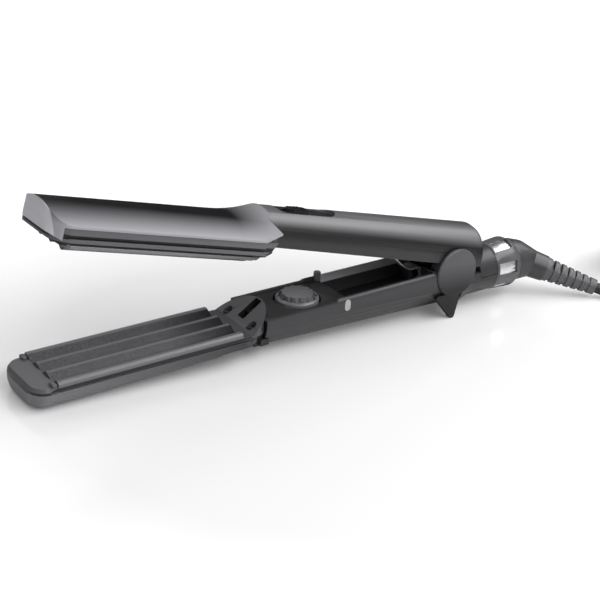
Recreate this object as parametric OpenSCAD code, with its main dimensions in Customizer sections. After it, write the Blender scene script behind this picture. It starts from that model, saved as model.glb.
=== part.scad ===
// Hair crimper: two arms joined by a hinge pin, each with a heated corrugated plate at
// its front end. Millimetres, +Z up, the part standing on its nose and its two hinge feet.
// Each piece is drawn in the arm frame: hinge axis at x = 0, tip towards -X, and z = 0 on
// the crests of the lower plate. The upper arm is drawn shut, then turned open.

/* [Plates] */
// Length of a crimping plate
plate_len = 95; // [80:1:120]
// Width of a crimping plate
plate_w = 36; // [34:0.5:38]
// Distance between two neighbouring ridges
ridge_pitch = 10.5; // [9:0.1:11]
// Height of a ridge, from valley to crest
ridge_h = 3; // [2:0.1:3.4]
// Radius that rounds the crests and the valleys
ridge_round = 0.9; // [0.6:0.1:1.2]
// Metal left behind the deepest valley
plate_back = 1.3; // [1.2:0.1:1.8]
// Metal behind the recesses of the upper plate
upper_plate_back = 1.5; // [1.4:0.1:2]
// Space between the two plates when the arms are shut
plate_gap = 0.8; // [0.6:0.1:1.2]

/* [Heads] */
// Nose in front of the plate
nose_len = 13.5; // [12:0.5:16]
// Nose in front of the upper plate
upper_nose_len = 10; // [10:0.5:13]
// Width of the head shells
head_w = 37; // [36.6:0.2:40]
// Radius of the nose corners seen from above
nose_corner = 9; // [7:0.5:11]
// Radius of the upper nose's corners seen from above
upper_corner = 10.5; // [8:0.5:11]
// Distance from the plate crests to the underside of the lower head
lower_head_depth = 14; // [13:0.5:18]
// Height of the carrier between the upper plate's face and the upper shell
carrier_h = 9; // [8.6:0.1:9.4]
// Height of the upper head's back at the nose
upper_head_height = 14.2; // [14:0.1:15]
// Wall of the head shells
head_wall = 1.8; // [1.4:0.1:2.4]
// Length of the ramp behind the plate
ramp_len = 21; // [20:0.5:22]
// Angle of the ramp
ramp_angle = 32.4; // [28:0.2:34]

/* [Handles] */
// Distance from the hinge axis to the plates
hinge_to_plate = 133.5; // [125:0.5:150]
// Width of the lower handle
lower_handle_w = 33; // [32.6:0.2:36]
// Depth of the lower handle at the front, below the plate crests
lower_depth_front = 16.5; // [16.5:0.5:18]
// Depth of the lower handle at the hinge
lower_depth_rear = 21; // [20.6:0.2:23]
// Height of the lower handle's rim beside the dial
rim_z = 1.5; // [1:0.1:2]
// Height of the lower handle's rim between the dial and the hinge
rear_rim_z = 3; // [2.4:0.1:3.4]
// Radius that draws the lower handle's rim in
rim_round = 2.5; // [1.5:0.1:2.8]
// Wall of both handles
handle_wall = 2.2; // [1.8:0.1:2.6]
// Radius of the upper handle at its front end
upper_r_front = 13.2; // [13:0.1:13.6]
// Radius of the upper handle at the hinge
upper_r_rear = 16.2; // [15.6:0.1:16.3]
// Height of the upper handle's flat underside above the plate crests
upper_floor_z = 4.8; // [4.7:0.1:5.2]
// Height of the upper handle's straight sides under its round back
upper_side_h = 3.2; // [2.6:0.1:3.6]

/* [Hinge] */
// Angle through which the upper arm opens
open_angle = 15.2; // [12:0.2:17]
// Angle between the upper plate and the upper handle
jaw_angle = 0.8; // [0.6:0.1:1]
// Height of the hinge axis above the plate crests
axis_z = 0.8; // [0.6:0.1:1.2]
// Radius of the hinge pin
pin_r = 3; // [2:0.1:3.5]
// Radius of the ears of the lower handle
ear_r = 12.6; // [12:0.1:13]
// Thickness of an ear, and of a cheek of the upper arm
ear_t = 3; // [2.4:0.1:3.2]
// Radius of the flat hinge covers
cover_r = 13.1; // [12.9:0.1:13.6]
// Thickness of a hinge cover
cover_t = 1.4; // [1.2:0.1:2]
// Depth of a foot's tip below the plate crests
foot_depth = 25; // [24:0.5:28]
// Radial clearance of the hinge pin
pin_fit = 0.05; // [0.02:0.01:0.09]
// Clearance between parts that slide past each other
side_gap = 0.4; // [0.3:0.05:0.5]

/* [Dial and switch] */
// Radius of the temperature dial
dial_r = 11; // [10:0.1:11.4]
// Radius of the raised grip of the dial
grip_r = 8; // [7:0.1:8.4]
// Distance from the hinge axis to the dial
dial_from_hinge = 90.5; // [88:0.5:92]
// Gap around the dial
dial_gap = 1; // [0.6:0.1:1.4]
// Length of the switch panel on the back of the upper handle
switch_panel_len = 37; // [34:0.5:40]
// Width of the switch panel
switch_panel_w = 12; // [12:0.2:13]
// Travel of the power switch
switch_travel = 5; // [3:0.5:6]

/* [Cord outlet] */
// Radius of the rear tube
tube_r = 12.8; // [12.2:0.1:13.2]
// Distance from the plate crests down to the axis of the rear tube
tube_drop = 8.7; // [8.2:0.1:9.2]
// Distance from the hinge axis to the end of the rear tube
tube_end = 34; // [32:0.5:40]
// Length of the windowed collar
collar_len = 17; // [16:0.5:20]
// How far the collar bulges past the tube
collar_bulge = 1.1; // [0.6:0.1:1.4]
// Number of windows around the collar
windows = 6; // [4:1:7]
// Radius of the swivel stem
stem_r = 9; // [8:0.1:9.2]
// Length of the elbow's outgoing arm
elbow_arm = 18; // [16:0.5:20]
// Radius of the elbow's outgoing arm
elbow_arm_r = 7.2; // [6.8:0.1:7.6]
// Bend of the swivel elbow
elbow_bend = 45; // [30:1:50]
// Turn of the elbow away from straight down
elbow_turn = 65; // [62:1:75]
// Length of the strain relief
relief_len = 30; // [26:1:32]
// Number of slots along the strain relief
relief_slots = 6; // [4:1:7]
// Diameter of the cord
cord_d = 6; // [5:0.1:6.2]

/* [Hidden] */

// Number of sides of true round surfaces, and of rounded shapes that are hulled
round_fn = 64;
hull_fn = 32;
// Small overlap of cutting shapes past a face
cut = 0.5;
// Gap between pieces that are seated on each other
seat = 0.1;

// Colours
charcoal = [0.20, 0.20, 0.21];
black_plastic = [0.10, 0.10, 0.11];
dark_coating = [0.24, 0.24, 0.25];
grey_cap = [0.38, 0.38, 0.40];
bright_metal = [0.85, 0.86, 0.88];
steel = [0.6, 0.6, 0.62];

// ---- lengths along the arms ----
plate_rear = -hinge_to_plate;
plate_front = plate_rear - plate_len;
nose_x = plate_front - nose_len;
upper_nose_x = plate_front - upper_nose_len;
ramp_rear = plate_rear + ramp_len;
// The head shells stop here and the handles start a little behind
head_rear = plate_rear + 9.5;
handle_front = plate_rear + 14.5;
head_half = head_w / 2;
plate_half = plate_w / 2;
handle_half = lower_handle_w / 2;

// ---- heights of the layers of a head ----
plate_back_z = -ridge_h - plate_back;
parting_z = plate_back_z - 0.7;
upper_back_z = plate_gap + upper_plate_back;
upper_parting_z = plate_gap + carrier_h;
heater_t = 3;
heater_half = 9;
heater_inset = 8;
// The windows of the carriers are longer than the elements, the clips shorter
window_inset = heater_inset - 2;
clip_inset = heater_inset + 4;
clip_t = 0.6;

// ---- stations of the nose seen from above: share of the corner's turn, front to side ----
nose_steps = 6;

// The ridge profile across the plate, with rounded crests and valleys and a valley at y = 0
function saw(u) = abs(((u % 1) + 1) % 1 - 0.5) * 2;
round_share = ridge_round / ridge_pitch;
function soft_saw(u) = (saw(u - round_share) + 2 * saw(u) + saw(u + round_share)) / 4;
function wave(y) = -ridge_h * (1 - soft_saw(y / ridge_pitch + 0.5));
wave_step = ridge_pitch / 14;
wave_edge = 1.5 * ridge_pitch;
wave_points = [for (y = [-wave_edge : wave_step : wave_edge + wave_step / 2]) [y, wave(y)]];

// ---- the stand: the nose's underside and the feet touch the floor ----
nose_contact_x = nose_x + nose_corner;
foot_tip_x = -1.5;
rest_tilt = atan((foot_depth - lower_head_depth) / (foot_tip_x - nose_contact_x));
floor_cut = 0.25;
origin_z = foot_depth * cos(rest_tilt) + foot_tip_x * sin(-rest_tilt) - floor_cut;
elbow_x = tube_end + collar_len + 7;
box_front = nose_x * cos(rest_tilt) - (parting_z - 1) * sin(-rest_tilt);
box_rear = elbow_x + elbow_arm * cos(elbow_bend) + elbow_arm_r * sin(elbow_bend) + 0.6;
origin_x = -(box_front + box_rear) / 2;

module stand() {
    translate([origin_x, 0, origin_z])
        rotate([0, -rest_tilt, 0])
            children();
}

module above_floor() {
    intersection() {
        children();
        translate([-500, -500, 0])
            cube([1000, 1000, 500]);
    }
}

module about_hinge(angle) {
    translate([0, 0, axis_z])
        rotate([0, angle, 0])
            translate([0, 0, -axis_z])
                children();
}

// The upper plate and its carrier stand at a small angle to the upper shell and handle
module jaw() {
    stand()
        about_hinge(open_angle)
            children();
}

module upper() {
    jaw()
        about_hinge(jaw_angle)
            children();
}

// How far a point at x of the upper shell is lifted by the jaw's angle
function jaw_lift(x) = -x * tan(jaw_angle);
// Height in the shell's frame of the level z of the jaw
function from_jaw(z, x) = axis_z + (z - axis_z) / cos(jaw_angle) - jaw_lift(x);

// Turns a flat section drawn as (y, z) into a slab that starts at x
module slab(x, t = 0.1) {
    translate([x, 0, 0])
        rotate([90, 0, 90])
            linear_extrude(t)
                children();
}

// Turns a side view drawn as (x, z) into a plate centred on y = 0
module side_plate(width) {
    rotate([90, 0, 0])
        linear_extrude(width, center = true)
            children();
}

// A round bar along y, centred on the hinge axis
module axle(r, width, fn = round_fn) {
    translate([0, 0, axis_z])
        rotate([90, 0, 0])
            cylinder(r = r, h = width, center = true, $fn = fn);
}

// A pair of discs along y, from inner to outer distance on both sides
module twin_discs(r, inner, outer) {
    for (side = [-1, 1])
        translate([0, side * (inner + outer) / 2, axis_z])
            rotate([90, 0, 0])
                cylinder(r = r, h = outer - inner, center = true, $fn = round_fn);
}

// A bar along x with its axis at y, z
module bar(r, x0, x1, y = 0, z = 0) {
    translate([x0, y, z])
        rotate([0, 90, 0])
            cylinder(r = r, h = x1 - x0, $fn = round_fn);
}

module box(x0, x1, half, z0, z1) {
    translate([x0, -half, z0])
        cube([x1 - x0, 2 * half, z1 - z0]);
}

// ---- head outline seen from above, from the nose to x_end ----
module head_plan(inset, x_end, front = nose_x, corner = nose_corner) {
    r = corner - inset;
    half = head_half - inset;
    hull() {
        for (side = [-1, 1])
            translate([front + corner, side * (half - r)])
                circle(r, $fn = hull_fn);
        translate([x_end - 0.1, -half])
            square([0.1, 2 * half]);
    }
}

// ---- skins of the head shells ----
// A station is [x, half width, rim z, shoulder z, crown z, roundness]: the side stands
// straight from the rim to the shoulder, then curves to the crown. Roundness 0 is a
// shallow dome of the given power, 1 is a half round.
skin_steps = 10;
function skin_curve(t, power, m) = (1 - m) * (1 - pow(abs(t), power)) + m * sqrt(max(0, 1 - t * t));
function skin_section(s, power) = concat(
    [[s[0], s[1], s[2]]],
    [for (i = [0 : 2 * skin_steps])
        let (a = 90 * i / skin_steps, t = cos(a))
        [s[0], s[1] * t, s[3] + (s[4] - s[3]) * skin_curve(t, power, s[5])]],
    [[s[0], -s[1], s[2]]]
);
module skin(stations, power) {
    n = 2 * skin_steps + 3;
    rings = len(stations);
    points = [for (s = stations) each skin_section(s, power)];
    sides = [for (k = [0 : rings - 2]) for (j = [0 : n - 1])
        let (a = k * n + j, b = k * n + (j + 1) % n)
        each [[a, b + n, b], [a, a + n, b + n]]];
    front = [for (j = [1 : n - 2]) [0, j, j + 1]];
    rear_0 = (rings - 1) * n;
    rear = [for (j = [1 : n - 2]) [rear_0, rear_0 + j + 1, rear_0 + j]];
    polyhedron(points, concat(sides, front, rear), convexity = 4);
}

function nose_stations(inset, rim, shoulder, crown, droop) = [
    for (k = [0 : nose_steps])
        let (a = 15 + 75 * k / nose_steps, r = nose_corner - inset)
        [nose_x + nose_corner - r * cos(a), head_half - nose_corner + r * sin(a),
         rim, shoulder, crown - droop * (1 - sin(a)), 0]
];

// A station of the upper shell: its back is higher than the nose by rise
function upper_station(x, narrow, rise, roundness, inset) = let (rim = from_jaw(upper_parting_z, x))
    [x, head_half - narrow - inset, rim, rim + 1, upper_head_height + rise - inset, roundness];
function upper_stations(inset) = [
    upper_station(upper_nose_x - 1, 0, 0, 0, inset),
    upper_station(plate_rear - 17, 0, 2.1, 0, inset),
    upper_station(plate_rear - 9, 0, 2.45, 0, inset),
    upper_station(plate_rear - 4, 0, 3.2, 0, inset),
    upper_station(plate_rear + 1, 0, 4.2, 0.1, inset),
    upper_station(plate_rear + 6, 0.4, 5.8, 0.25, inset),
    upper_station(head_rear, 0.8, 7, 0.45, inset),
    upper_station(handle_front + 1, 1.5, 7.4, 0.5, inset)
];

function lower_stations(inset) = concat(
    nose_stations(inset, -parting_z, -parting_z + 3.4, lower_head_depth - inset, 3),
    [[head_rear - 8, head_half - inset, -parting_z, -parting_z + 3.4, lower_head_depth - inset, 0],
     [head_rear - 4, head_half - 0.4 - inset, -parting_z, -parting_z + 3.4,
      lower_head_depth - inset, 0],
     [head_rear - 1.4, head_half - 1.7 - inset, -parting_z, -parting_z + 3.4,
      lower_head_depth - 0.5 - inset, 0],
     [head_rear, head_half - 3.6 - inset, -parting_z, -parting_z + 3.2,
      lower_head_depth - 1.6 - inset, 0]]
);
upper_power = 2.2;
lower_power = 5;

// ================= lower arm =================

// Tub under the heated plate
module lower_head_shell() {
    color(charcoal)
        above_floor()
            stand()
                difference() {
                    mirror([0, 0, 1])
                        skin(lower_stations(0), lower_power);
                    mirror([0, 0, 1])
                        translate([0, 0, -cut])
                            intersection() {
                                skin(lower_stations(head_wall), lower_power);
                                box(nose_x + head_wall, head_rear - head_wall, head_w, -50, 50);
                            }
                    // opening towards the handle for the leads
                    bar(4, head_rear - 5, head_rear + cut, 0, -8.5);
                }
}

// The ramp behind the plate: a low floor, then a slope that passes ramp_z0 at ramp_x0
ramp_floor_z = plate_back_z + 0.9;
ramp_x0 = plate_rear + 10;
ramp_z0 = -0.9;
ramp_hole_x = plate_rear + 9.1;
ramp_hole_y = 10.6;
ramp_hole_r = 1.3;
ramp_hole_depth = 1.6;
slot_len = 10.8;
slot_w = 5;
slot_x = head_rear;
slot_floor_z = parting_z + 1.4;
tail_r = head_half - 0.9;
function ramp_z(x) = ramp_z0 + (x - ramp_x0) * tan(ramp_angle);
function ramp_x(z) = ramp_x0 + (z - ramp_z0) / tan(ramp_angle);

// Plan of the ramp: straight sides that end in a round tail
module ramp_plan() {
    translate([ramp_rear - tail_r, 0])
        circle(tail_r, $fn = round_fn);
    translate([plate_rear + seat, -tail_r])
        square([ramp_rear - tail_r - plate_rear - seat, 2 * tail_r]);
}

// Carrier of the lower plate: nose deck, side rails and the ramp with its slot
module lower_plate_frame() {
    deck_z = -1;
    color(black_plastic)
        stand()
            difference() {
                union() {
                    // nose deck with a bevelled edge
                    intersection() {
                        hull() {
                            translate([0, 0, parting_z + seat])
                                linear_extrude(deck_z - parting_z - 1.6)
                                    head_plan(0.3, plate_front);
                            translate([0, 0, deck_z - 0.1])
                                linear_extrude(0.1)
                                    head_plan(1.6, plate_front);
                        }
                        box(nose_x - cut, plate_front - seat, head_w, parting_z, deck_z + cut);
                    }
                    // rails under the plate
                    box(plate_front - 2, plate_rear + 2, plate_half - 0.4,
                        parting_z + seat, plate_back_z - seat);
                    // ramp
                    intersection() {
                        translate([0, 0, parting_z + seat])
                            linear_extrude(ramp_z(ramp_rear) - parting_z)
                                ramp_plan();
                        side_plate(head_w + 2)
                            polygon([[plate_rear + seat, parting_z], [plate_rear + seat, ramp_floor_z],
                                     [ramp_x(ramp_floor_z), ramp_floor_z],
                                     [ramp_rear + cut, ramp_z(ramp_rear + cut)],
                                     [ramp_rear + cut, parting_z]]);
                    }
                }
                // window for the heater
                box(plate_front + window_inset, plate_rear - window_inset, heater_half + 0.6,
                    parting_z - cut, plate_back_z + cut);
                // slot that takes the tab of the upper arm
                box(slot_x, slot_x + slot_len, slot_w / 2, slot_floor_z, ramp_z(ramp_rear) + cut);
                // screw holes
                for (side = [-1, 1])
                    translate([ramp_hole_x, side * ramp_hole_y, parting_z - cut])
                        cylinder(r = ramp_hole_r, h = 20, $fn = round_fn);
                for (side = [-1, 1])
                    translate([ramp_hole_x, side * ramp_hole_y, ramp_z(ramp_hole_x) - ramp_hole_depth])
                        cylinder(r = ramp_hole_r + 1, h = 10, $fn = round_fn);
                // room for the front of the handle under the tail
                box(handle_front - side_gap, ramp_rear + 1, head_w, parting_z - cut, tail_z);
            }
}

module wave_sheet(z_back, lift, drop) {
    shoulder = 0.8;
    edge_z = wave(wave_edge) + lift;
    edge_drop = sign(z_back - lift) * drop;
    polygon(concat(
        [[-plate_half, z_back], [-plate_half, edge_z + edge_drop], [-plate_half + shoulder, edge_z]],
        [for (p = wave_points) [p[0], p[1] + lift]],
        [[plate_half - shoulder, edge_z], [plate_half, edge_z + edge_drop], [plate_half, z_back]]
    ));
}

// Corrugated lower plate
module lower_crimp_plate() {
    color(dark_coating)
        stand()
            slab(plate_front, plate_len)
                wave_sheet(plate_back_z, 0, 1.1);
}

// Heating element pressed against the plate's back
module lower_heater() {
    color("tan")
        stand()
            box(plate_front + heater_inset, plate_rear - heater_inset, heater_half,
                plate_back_z - heater_t, plate_back_z - seat);
}

// Spring channel that presses the element up
module lower_heater_clip() {
    z0 = plate_back_z - heater_t - seat;
    color(steel)
        stand()
            clip(z0, -lower_head_depth + head_wall + 0.8);
}

// A bowed strip from the element at z0 to the shell at z1
module clip(z0, z1) {
    x0 = plate_front + clip_inset;
    x1 = plate_rear - clip_inset;
    bow = (x1 - x0) / 6;
    t = sign(z0 - z1) * clip_t;
    side_plate(2 * heater_half - 4)
        polygon([
            [x0, z1], [x0 + bow, z1], [x0 + 2 * bow, z0 - t], [x1 - 2 * bow, z0 - t],
            [x1 - bow, z1], [x1, z1], [x1, z1 + t], [x1 - bow + 0.4, z1 + t],
            [x1 - 2 * bow + 0.4, z0], [x0 + 2 * bow - 0.4, z0], [x0 + bow - 0.4, z1 + t], [x0, z1 + t]
        ]);
}

// Round thermostat at the rear end of the element
module lower_thermostat() {
    color("darkgray")
        stand()
            translate([plate_rear - 2.6, 0, plate_back_z - 0.9 - 3.4])
                cylinder(r = 4.6, h = 3.4, $fn = round_fn);
}

// ---- lower handle ----
// Round-bottomed section of a handle, with its upper corners rounded by radius r
module trough(half, bottom, top, r = 0.01) {
    hull() {
        intersection() {
            translate([0, bottom + half])
                circle(half, $fn = 48);
            translate([-half, bottom])
                square([2 * half, half]);
        }
        for (side = [-1, 1])
            translate([side * (half - r), top - r])
                circle(r, $fn = 24);
    }
}

// Inside of the lower handle, made wider by extra
module trough_inside(extra = 0) {
    half = handle_half - handle_wall + extra;
    hull() {
        slab(handle_front + handle_wall - extra)
            trough(half, -lower_depth_front + handle_wall - extra, rear_rim_z + 2);
        slab(block_front + extra)
            trough(half, -lower_depth_rear + 1 + handle_wall - extra, rear_rim_z + 2);
    }
}

block_front = -ear_r - 2;
tube_z = -tube_drop;
cheek_out = handle_half - cover_t + 0.5 - ear_t - side_gap;
ear_in = handle_half - cover_t + 0.5 - ear_t;
ear_out = ear_in + ear_t;
cheek_in = cheek_out - ear_t;
pocket_r = ear_r + 0.3;
cover_front = 21.5;
lead_z = -14.6;
lead_r = 1.5;
flange_x = tube_end - 6;
collar_x = tube_end + seat;

// Trough, hinge ears and the lower half of the rear tube in one moulding
module lower_handle_shell() {
    color(charcoal)
        stand()
            difference() {
                union() {
                    difference() {
                        hull() {
                            slab(handle_front)
                                trough(handle_half, -lower_depth_front, rear_rim_z, rim_round);
                            slab(6)
                                trough(handle_half, -lower_depth_rear, rear_rim_z, rim_round);
                        }
                        trough_inside();
                    }
                    twin_discs(ear_r, ear_in, ear_out);
                    // run-out from the trough to the tube
                    intersection() {
                        translate([5, 0, tube_z])
                            rotate([0, 90, 0])
                                cylinder(r1 = handle_half - 0.4, r2 = tube_r - 0.02, h = 11, $fn = round_fn);
                        box(5.9, 17, head_w, tube_z - tube_r + 0.05, -5.5);
                    }
                    intersection() {
                        bar(tube_r, 15, tube_end, 0, tube_z);
                        union() {
                            box(14, cover_front - seat, head_w, -50, -5.5);
                            box(14, tube_end + 1, head_w, -50, tube_z);
                        }
                    }
                    // neck that enters the head shell's rear wall
                    box(head_rear + seat, handle_front + 1, 12.5, -12.4, parting_z - seat);
                    box(head_rear + 2.3, handle_front + 2, 15, -11.5, -8.5);
                }
                // the rim steps down beside the dial
                side_plate(head_w + 10)
                    polygon([[handle_front - 1, rim_z], [rim_step_x - 3, rim_z], [rim_step_x, rear_rim_z + 1],
                             [handle_front - 1, rear_rim_z + 1]]);
                // pocket in which the cheeks of the upper arm turn
                axle(pocket_r, 2 * ear_in);
                box(-pocket_r, 0, ear_in, axis_z - 2, 30);
                // the tube's inside, and the way for the lead
                bar(tube_r - handle_wall, 21, tube_end + 1, 0, tube_z);
                bar(lead_r + 0.5, block_front - 2, 22, 0, lead_z);
                bar(3, head_rear - 1, handle_front + handle_wall + 1, 0, -8.5);
                // seats of the hinge covers, and the bore of the pin
                twin_discs(cover_r + 0.2, ear_out, handle_half + 5);
                axle(pin_r + 0.02, 2 * handle_half + 10);
                // room for the ramp's round tail
                translate([ramp_rear - tail_r, 0, tail_z - seat])
                    cylinder(r = tail_r + 0.3, h = 10, $fn = round_fn);
                // slot in the block's front wall for the foot of the spring
                box(block_front - 1, -pocket_r * 0.6, spring_w / 2 + 0.5, channel_z + channel_t, rear_rim_z);
                // window of the pilot lamp in the near side
                translate([lens_x, -handle_half, lens_z])
                    rotate([90, 0, 0])
                        linear_extrude(2 * handle_wall + 4, center = true)
                            lens_outline(0.05);
            }
}

dial_x = -dial_from_hinge;
rim_step_x = dial_x + dial_r + 5;
deck_top = 0.8;
tail_z = 0.2;
deck_t = 1.8;
deck_rear = dial_x + dial_r + dial_gap + 10;
channel_z = -9.4;
channel_t = 1.2;
lens_x = rim_step_x + 3.5;
lens_z = -1.2;
lens_h = 6;
lens_w = 3.6;

module lens_outline(extra) {
    hull()
        for (end = [-1, 1])
            translate([0, end * (lens_h - lens_w) / 2])
                circle(lens_w / 2 + extra, $fn = hull_fn);
}

// Width available inside the trough at height z, near the front
function trough_half(z) = let (r = handle_half - handle_wall)
    sqrt(r * r - pow(min(0, z + lower_depth_front - handle_wall - r), 2));

// Flat deck with the round well of the dial
module lower_deck() {
    half = handle_half - handle_wall - 2 * seat;
    well_r = dial_r + dial_gap;
    color(black_plastic)
        stand()
            difference() {
                union() {
                    box(handle_front + handle_wall + seat, deck_rear, half, deck_top - deck_t, deck_top);
                    translate([dial_x, 0, dial_floor_z - 1])
                        cylinder(r = well_r + 1.2, h = deck_top - dial_floor_z + 1, $fn = round_fn);
                    // rear wall of the deck, down to the channel's floor
                    box(deck_rear - 1.6, deck_rear, trough_half(channel_z) - 0.6,
                        channel_z + channel_t + seat, deck_top);
                }
                translate([dial_x, 0, dial_floor_z])
                    cylinder(r = well_r, h = 20, $fn = round_fn);
                translate([dial_x, 0, -20])
                    cylinder(r = shaft_r + 0.05, h = 20, $fn = round_fn);
                // round relief for the ramp's tail
                translate([ramp_rear - tail_r, 0, tail_z - seat])
                    cylinder(r = tail_r + 0.3, h = 5, $fn = round_fn);
            }
}

dial_floor_z = -3;
dial_top_z = 2.4;
grip_top_z = 4.4;
shaft_r = 2;
grip_notches = 12;
pot_z = -8;
pot_half = 5;
board_half = 9.2;
transformer_len = 8;
capacitor_r = 2.6;

// Rotary temperature dial with its shaft
module temperature_dial() {
    color(dark_coating)
        stand()
            translate([dial_x, 0, 0])
                difference() {
                    union() {
                        rotate_extrude($fn = round_fn)
                            polygon([[0, dial_floor_z + 0.3], [dial_r - 0.4, dial_floor_z + 0.3],
                                     [dial_r, dial_floor_z + 0.9],
                                     [dial_r, dial_top_z - 0.8], [dial_r - 0.8, dial_top_z],
                                     [grip_r + 1.2, dial_top_z], [grip_r + 1.2, dial_top_z - 0.8],
                                     [0, dial_top_z - 0.8]]);
                        translate([0, 0, dial_top_z - 1])
                            cylinder(r = grip_r, h = grip_top_z - dial_top_z + 1, $fn = round_fn);
                        translate([0, 0, pot_z + 2.5])
                            cylinder(r = shaft_r, h = dial_floor_z - pot_z - 2.1, $fn = round_fn);
                    }
                    // finger notches around the grip
                    for (k = [0 : grip_notches - 1])
                        rotate([0, 0, k * 360 / grip_notches])
                            translate([grip_r + 0.7, 0, dial_top_z - 0.79])
                                cylinder(r = 1.3, h = 10, $fn = 24);
                    // pointer groove
                    translate([grip_r - 3.4, -0.4, grip_top_z - 0.5])
                        cube([3.6, 0.8, 2]);
                }
}

module dial_potentiometer() {
    color("dimgray")
        stand()
            difference() {
                box(dial_x - pot_half, dial_x + pot_half, pot_half, pot_z + seat, dial_floor_z - 1.1);
                translate([dial_x, 0, pot_z + 2.4])
                    cylinder(r = shaft_r + 0.1, h = 5, $fn = round_fn);
            }
}

// Printed board under the deck, with its larger components
module control_board() {
    board_t = 1.4;
    color("seagreen")
        stand() {
            box(handle_front + handle_wall + 2, deck_rear - 6, board_half, pot_z - board_t, pot_z);
            box(dial_x - pot_half - transformer_len, dial_x - pot_half, 3, pot_z - board_t - 4,
                pot_z - board_t + 0.05);
            translate([dial_x + pot_half + capacitor_r + 1.4, 3.4, pot_z - 0.05])
                cylinder(r = capacitor_r, h = 3.5, $fn = 32);
        }
}

// Cover along the channel between the deck and the hinge
module channel_cover() {
    color(black_plastic)
        stand()
            intersection() {
                box(deck_rear - 1, block_front, handle_half, channel_z, channel_z + channel_t);
                trough_inside(-seat);
            }
}

module pilot_lens() {
    color("lightgray")
        stand()
            translate([lens_x, -handle_half + handle_wall / 2 - seat, lens_z])
                rotate([90, 0, 0])
                    linear_extrude(handle_wall, center = true)
                        lens_outline(0);
}

// Two screws that hold the ramp down
module ramp_screws() {
    head_z = ramp_z(ramp_hole_x) - ramp_hole_depth;
    end_z = parting_z + 2 * seat;
    color(steel)
        stand()
            for (side = [-1, 1])
                translate([ramp_hole_x, side * ramp_hole_y, 0])
                    difference() {
                        union() {
                            translate([0, 0, head_z])
                                cylinder(r = ramp_hole_r + 0.8, h = 1, $fn = round_fn);
                            translate([0, 0, end_z])
                                cylinder(r = ramp_hole_r - 0.1, h = head_z - end_z + 0.1, $fn = round_fn);
                        }
                        translate([-1.5, -0.25, head_z + 0.6])
                            cube([3, 0.5, 1]);
                        translate([-0.25, -1.5, head_z + 0.6])
                            cube([0.5, 3, 1]);
                    }
}

// ---- hinge ----
module hinge_pin() {
    color(bright_metal)
        stand()
            axle(pin_r, 2 * ear_out - 0.2);
}

// Flanged sleeves in the cheeks of the upper arm
bush_r = pin_r + 1.5;
module hinge_bushes() {
    color("goldenrod")
        upper()
            for (side = [-1, 1])
                translate([0, side * (cheek_in + cheek_out) / 2, axis_z])
                    rotate([90, 0, 0])
                        difference() {
                            cylinder(r = bush_r, h = ear_t, center = true, $fn = round_fn);
                            cylinder(r = pin_r + pin_fit, h = ear_t + 1, center = true, $fn = round_fn);
                        }
}

// Flat cap over the pin, drawn down into the pointed foot
foot_front_x = -16;
module hinge_cover(side) {
    difference() {
        union() {
            translate([0, side * (ear_out + seat + cover_t / 2), axis_z])
                rotate([side * -90, 0, 0]) {
                    cylinder(r = cover_r, h = cover_t - 0.5, center = true, $fn = round_fn);
                    translate([0, 0, cover_t / 2 - 0.51])
                        cylinder(r1 = cover_r, r2 = cover_r - 0.7, h = 0.7, $fn = round_fn);
                }
            translate([0, side * (ear_out + seat + 0.2), 0])
                side_foot(side);
        }
        // flank of the handle
        hull() {
            slab(-40)
                trough(handle_half + seat, -lower_depth_rear + 1 - seat, rim_z);
            slab(6)
                trough(handle_half + seat, -lower_depth_rear - seat, rim_z);
            slab(14)
                trough(tube_r + 2, -lower_depth_rear, rim_z);
        }
        translate([0, 0, axis_z])
            rotate([90, 0, 0])
                cylinder(r = cover_r + 0.19, h = 2 * (ear_out + seat), center = true, $fn = round_fn);
    }
}
module side_foot(side) {
    thick = 3;
    translate([0, side * (cover_t - 0.2) - (side > 0 ? thick : 0), 0])
        rotate([90, 0, 0])
            translate([0, 0, -thick])
                linear_extrude(thick)
                    hull() {
                        translate([foot_tip_x + 0.2, -foot_depth + 1.4])
                            circle(1.4, $fn = hull_fn);
                        translate([foot_front_x + 4, -11.2])
                            circle(1, $fn = hull_fn);
                        translate([2.2, -11.4])
                            circle(1, $fn = hull_fn);
                    }
}
module hinge_cover_near() {
    color(grey_cap)
        above_floor()
            stand()
                hinge_cover(-1);
}
module hinge_cover_far() {
    color(grey_cap)
        above_floor()
            stand()
                hinge_cover(1);
}

// ---- wavy leaf spring that lifts the upper arm ----
spring_w = 8;
spring_t = 0.6;
// Underside of the upper handle above x when the arm is open
handle_angle = open_angle + jaw_angle;
function open_floor(x) = axis_z + (upper_floor_z - axis_z) / cos(handle_angle) - x * tan(handle_angle);
spring_tip_x = -37;
spring_low = channel_z + channel_t + 0.05;
spring_rise = open_floor(spring_tip_x) - 0.35 - spring_low - spring_t;
// The middle line of the leaf, as [x, share of the height between its foot and its tip]
spring_line = [
    [-22, 0], [-11.5, 0], [-9.6, 0.03], [-8.6, 0.1], [-9, 0.2], [-10.8, 0.32], [-13, 0.41], [-16, 0.46],
    [-19.5, 0.45], [-22.5, 0.48], [-25.5, 0.57], [-29, 0.71], [-32.5, 0.86], [-35.2, 0.96], [-37, 1],
    [-38.8, 0.98], [-40, 0.94]
];
function spring_at(i) = [spring_line[i][0], spring_low + spring_t / 2 + spring_rise * spring_line[i][1]];
function spring_normal(i) = let (
        d = spring_at(min(i + 1, len(spring_line) - 1)) - spring_at(max(i - 1, 0))
    ) [-d[1], d[0]] / norm(d) * spring_t / 2;
module opening_spring() {
    last = len(spring_line) - 1;
    color(steel)
        stand()
            side_plate(spring_w)
                polygon(concat(
                    [for (i = [0 : last]) spring_at(i) + spring_normal(i)],
                    [for (i = [last : -1 : 0]) spring_at(i) - spring_normal(i)]
                ));
}

lead_x0 = deck_rear + 20;
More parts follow.
